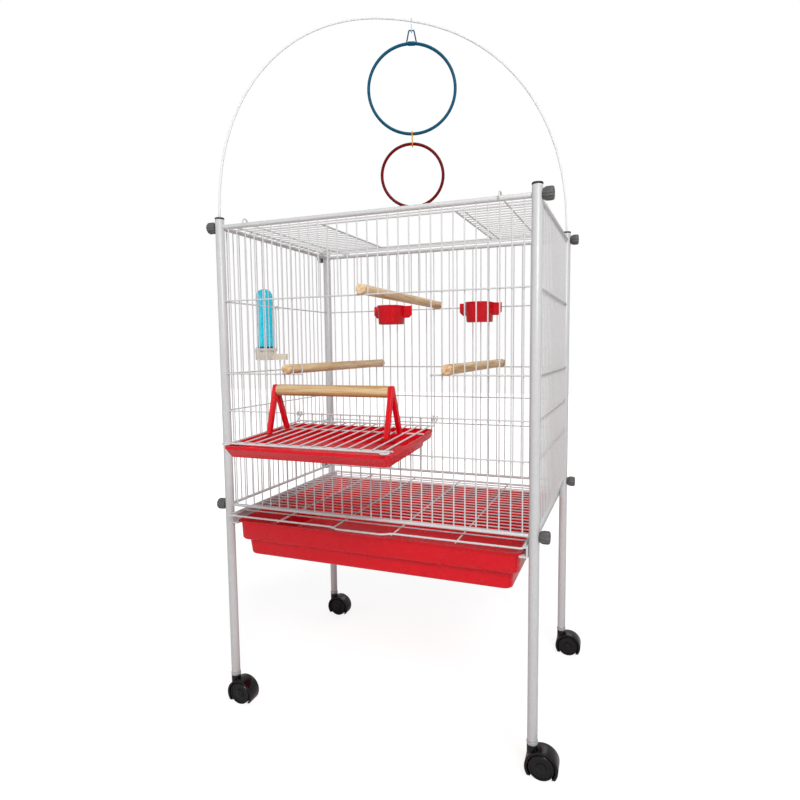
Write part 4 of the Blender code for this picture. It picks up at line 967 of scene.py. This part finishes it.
for corner in CORNERS:
    make_corner(corner)


# Arch and rings

ROD_R = 0.002
ARCH_BENDS = 24
CLIP_REACH, LINK_REACH = 0.016, 0.0175      # from bar to bar that a link holds together


def arch_bends():
    """Bends of the arch rod, from inside one cap to inside the other: a slightly squared half ellipse."""
    half = math.hypot(WIDTH, DEPTH) / 2
    share = 2 / 2.2
    foot = ARCH_SPRING - 0.009
    path = [Vector((-half, 0, foot))]
    for number in range(ARCH_BENDS + 1):
        angle = math.pi * (1 - number / ARCH_BENDS)
        u, w = math.cos(angle), math.sin(angle)
        x, rise = math.copysign(abs(u) ** share, u) * half, ARCH_RISE * abs(w) ** share
        path.append(Vector((x, 0, ARCH_SPRING + rise)))
    path.append(Vector((half, 0, foot)))
    return path


def make_arch():
    """Round rod bent over the cage from one post to the opposite one."""
    rod_line = bent(rounded(arch_bends(), 0.05, 6), ROD_R)
    return done(rod_line, "arch_bent_rod", "cage", ARCH_ENAMEL, ARCH, ["arch_rod"])


def link(above, below, top_z, reach, mat, name, body, nodes):
    """Oval link across the rings' plane, round two bars of these radii."""
    half, wire, slack, bends = 0.0042, 0.0011, 0.0007, 23
    spots = []
    bows = ((0.0, top_z, above + GAP + wire), (math.pi, top_z - reach, below + slack + wire))
    for start, middle, rise in bows:
        for number in range(bends + 1):
            angle = start + math.pi * number / bends
            spots.append((0, half * math.cos(angle), middle + rise * math.sin(angle)))
    return done(bent(spots, wire, closed=True), name, body, mat, CHAIN, nodes)


def ring(radius, centre_z, tube):
    """Round hoop that faces the front."""
    pick_none()
    bpy.ops.mesh.primitive_torus_add(major_segments=96, minor_segments=16, major_radius=radius,
                                     minor_radius=tube, location=(0, 0, centre_z),
                                     rotation=(math.radians(90), 0, 0))
    return settle()


def make_rings():
    """Clip, blue ring with its hanger, link and red ring, one under another."""
    middle = ARCH_BENDS // 2 + 1
    top, after = arch_bends()[middle:middle + 2]
    crown = top.z + (after.z - top.z) * RING_SHIFT / after.x
    hanger = crown - CLIP_REACH
    blue_r, red_r, tube, eye_wire, eye_high = 0.0772, 0.0551, 0.0027, 0.0012, 0.022
    blue_top = hanger - eye_high
    blue_z = blue_top - blue_r
    low = blue_z - blue_r
    red_top = low - LINK_REACH
    link(ROD_R, eye_wire, crown, CLIP_REACH, CLEAR_CLIP, "ring_clip_link", "clip", ["ring_clip"])
    loop = [(-0.009, 0, blue_top), (-0.0045, 0, hanger), (0.0045, 0, hanger), (0.009, 0, blue_top)]
    eye = bent(rounded(loop, 0.002, closed=True), eye_wire, closed=True)
    collar = rod((-0.006, 0, blue_top - 0.0001), (0.006, 0, blue_top - 0.0001), 0.0036, 24)
    bevelled(collar, 0.0006, 2)
    blue = join(ring(blue_r, blue_z, tube), eye, collar)
    done(blue, "ring_blue_hoop", "blue_ring", BLUE_VINYL, CHAIN, ["ring_blue"])
    link(tube, tube, low, LINK_REACH, YELLOW_STYRENE, "ring_link_oval", "link", ["ring_link"])
    red = ring(red_r, red_top - red_r, tube)
    done(red, "ring_red_hoop", "red_ring", RED_VINYL, CHAIN, ["ring_red"])


make_arch()
make_rings()


# Runners: the CAD's own meshes show, dressed like the panels

for side in ("left", "right"):
    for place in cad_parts[f"runner_{side}"].material_slots:
        place.material = WIRE_ENAMEL


# Studio and camera

# Lamps: place, size and power
LAMPS = {
    "key": ((1.5, -2.2, 2.4), 1.2, 72.0),
    "fill": ((-2.2, -1.8, 1.2), 1.6, 12.0),
    "back": ((0.4, 2.6, 2.4), 1.6, 10.0),
}
LAMP_AIM = Vector((0, 0.1, 0.6))
PURE_WHITE = (1, 1, 1, 1)


def seen_rays(tree):
    """Light path node, and a value of 1 for rays from the camera, straight or through clear plastic."""
    rays = node(tree, "ShaderNodeLightPath")
    seen = node(tree, "ShaderNodeMath", [(rays, "Is Camera Ray", 0), (rays, "Is Transmission Ray", 1)],
                operation="MAXIMUM")
    return rays, seen


def make_floor():
    """Pale floor: it keeps the cage's shadow near the castors and is plain white further off."""
    pick_none()
    bpy.ops.mesh.primitive_plane_add(size=14.0, location=(0, 0, 0))
    floor = settle()
    floor.name = "studio_floor"
    mat, shader = finish("pale_floor", Roughness=0.9, Base_Color=(0.9, 0.9, 0.9, 1.0))
    tree = mat.node_tree
    glow = node(tree, "ShaderNodeEmission", Color=PURE_WHITE, Strength=1.22)
    _, seen = seen_rays(tree)
    where = node(tree, "ShaderNodeTexCoord")
    away = node(tree, "ShaderNodeVectorMath", [(where, "Object", 0)], operation="LENGTH")
    far = node(tree, "ShaderNodeMapRange", [(away, "Value", "Value")],
               From_Min=0.6, From_Max=1.5, To_Min=0.7, To_Max=1.0)
    share = node(tree, "ShaderNodeMath", [(seen, "Value", 0), (far, "Result", 1)], operation="MULTIPLY")
    blend = node(tree, "ShaderNodeMixShader",
                 [(share, "Value", "Fac"), (shader, "BSDF", 1), (glow, "Emission", 2)])
    tree.links.new(blend.outputs["Shader"], tree.nodes["Material Output"].inputs["Surface"])
    floor.data.materials.append(mat)


def make_world():
    """Soft light from all round, with pure white behind the cage and some of it in its gloss."""
    world = bpy.data.worlds.new("studio_world")
    bpy.context.scene.world = world
    world.use_nodes = True
    tree = world.node_tree
    tree.nodes.clear()
    soft = node(tree, "ShaderNodeBackground", Color=PURE_WHITE, Strength=0.25)
    white = node(tree, "ShaderNodeBackground", Color=PURE_WHITE, Strength=1.0)
    rays, seen = seen_rays(tree)
    share = node(tree, "ShaderNodeMath", [(rays, "Is Glossy Ray", 0), (seen, "Value", 2)],
                 operation="MULTIPLY_ADD")
    share.inputs[1].default_value = 0.4
    mix = node(tree, "ShaderNodeMixShader",
               [(share, "Value", "Fac"), (soft, "Background", 1), (white, "Background", 2)])
    node(tree, "ShaderNodeOutputWorld", [(mix, "Shader", "Surface")])


def make_lamps():
    """Key from the front right, weak fill from the left and a weak one from behind."""
    for name, (spot, size, power) in LAMPS.items():
        bpy.ops.object.light_add(type="AREA", location=spot)
        lamp = bpy.context.active_object
        lamp.name = f"lamp_{name}"
        lamp.data.size = size
        lamp.data.energy = power
        lamp.rotation_euler = (LAMP_AIM - Vector(spot)).to_track_quat("-Z", "Y").to_euler()


# Camera: yaw, pitch and roll in degrees, its place from the front left post, its focal length in pixels
CAMERA_TURN = (-21.680, -5.037, -0.614)
CAMERA_SPOT = (0.6527, -0.8285, 0.6289)
FOCAL_PIXELS, PHOTO_PIXELS, SENSOR = 586.9, 800, 36.0


def make_camera():
    """Camera at the photograph's place, from the fit of the cage's wires."""
    yaw, pitch, roll = (math.radians(angle) for angle in CAMERA_TURN)
    ahead = Vector((math.sin(yaw) * math.cos(pitch), math.cos(yaw) * math.cos(pitch), math.sin(pitch)))
    right = Vector((math.cos(yaw), -math.sin(yaw), 0.0))
    up = right.cross(ahead)
    side = math.cos(roll) * right + math.sin(roll) * up
    rise = -math.sin(roll) * right + math.cos(roll) * up
    bpy.ops.object.camera_add()
    camera = bpy.context.active_object
    camera.name = "photo_camera"
    spot = PLACE @ (Vector(CAMERA_SPOT) - Vector((WIDTH / 2, 0, 0)))
    camera.matrix_world = Matrix((
        (side.x, rise.x, -ahead.x, spot.x), (side.y, rise.y, -ahead.y, spot.y),
        (side.z, rise.z, -ahead.z, spot.z), (0, 0, 0, 1)))
    camera.data.sensor_width = SENSOR
    camera.data.lens = FOCAL_PIXELS / PHOTO_PIXELS * SENSOR
    camera.data.clip_start = 0.01
    bpy.context.scene.camera = camera


make_floor()
make_world()
make_lamps()
make_camera()
bpy.context.scene.view_settings.view_transform = "Standard"
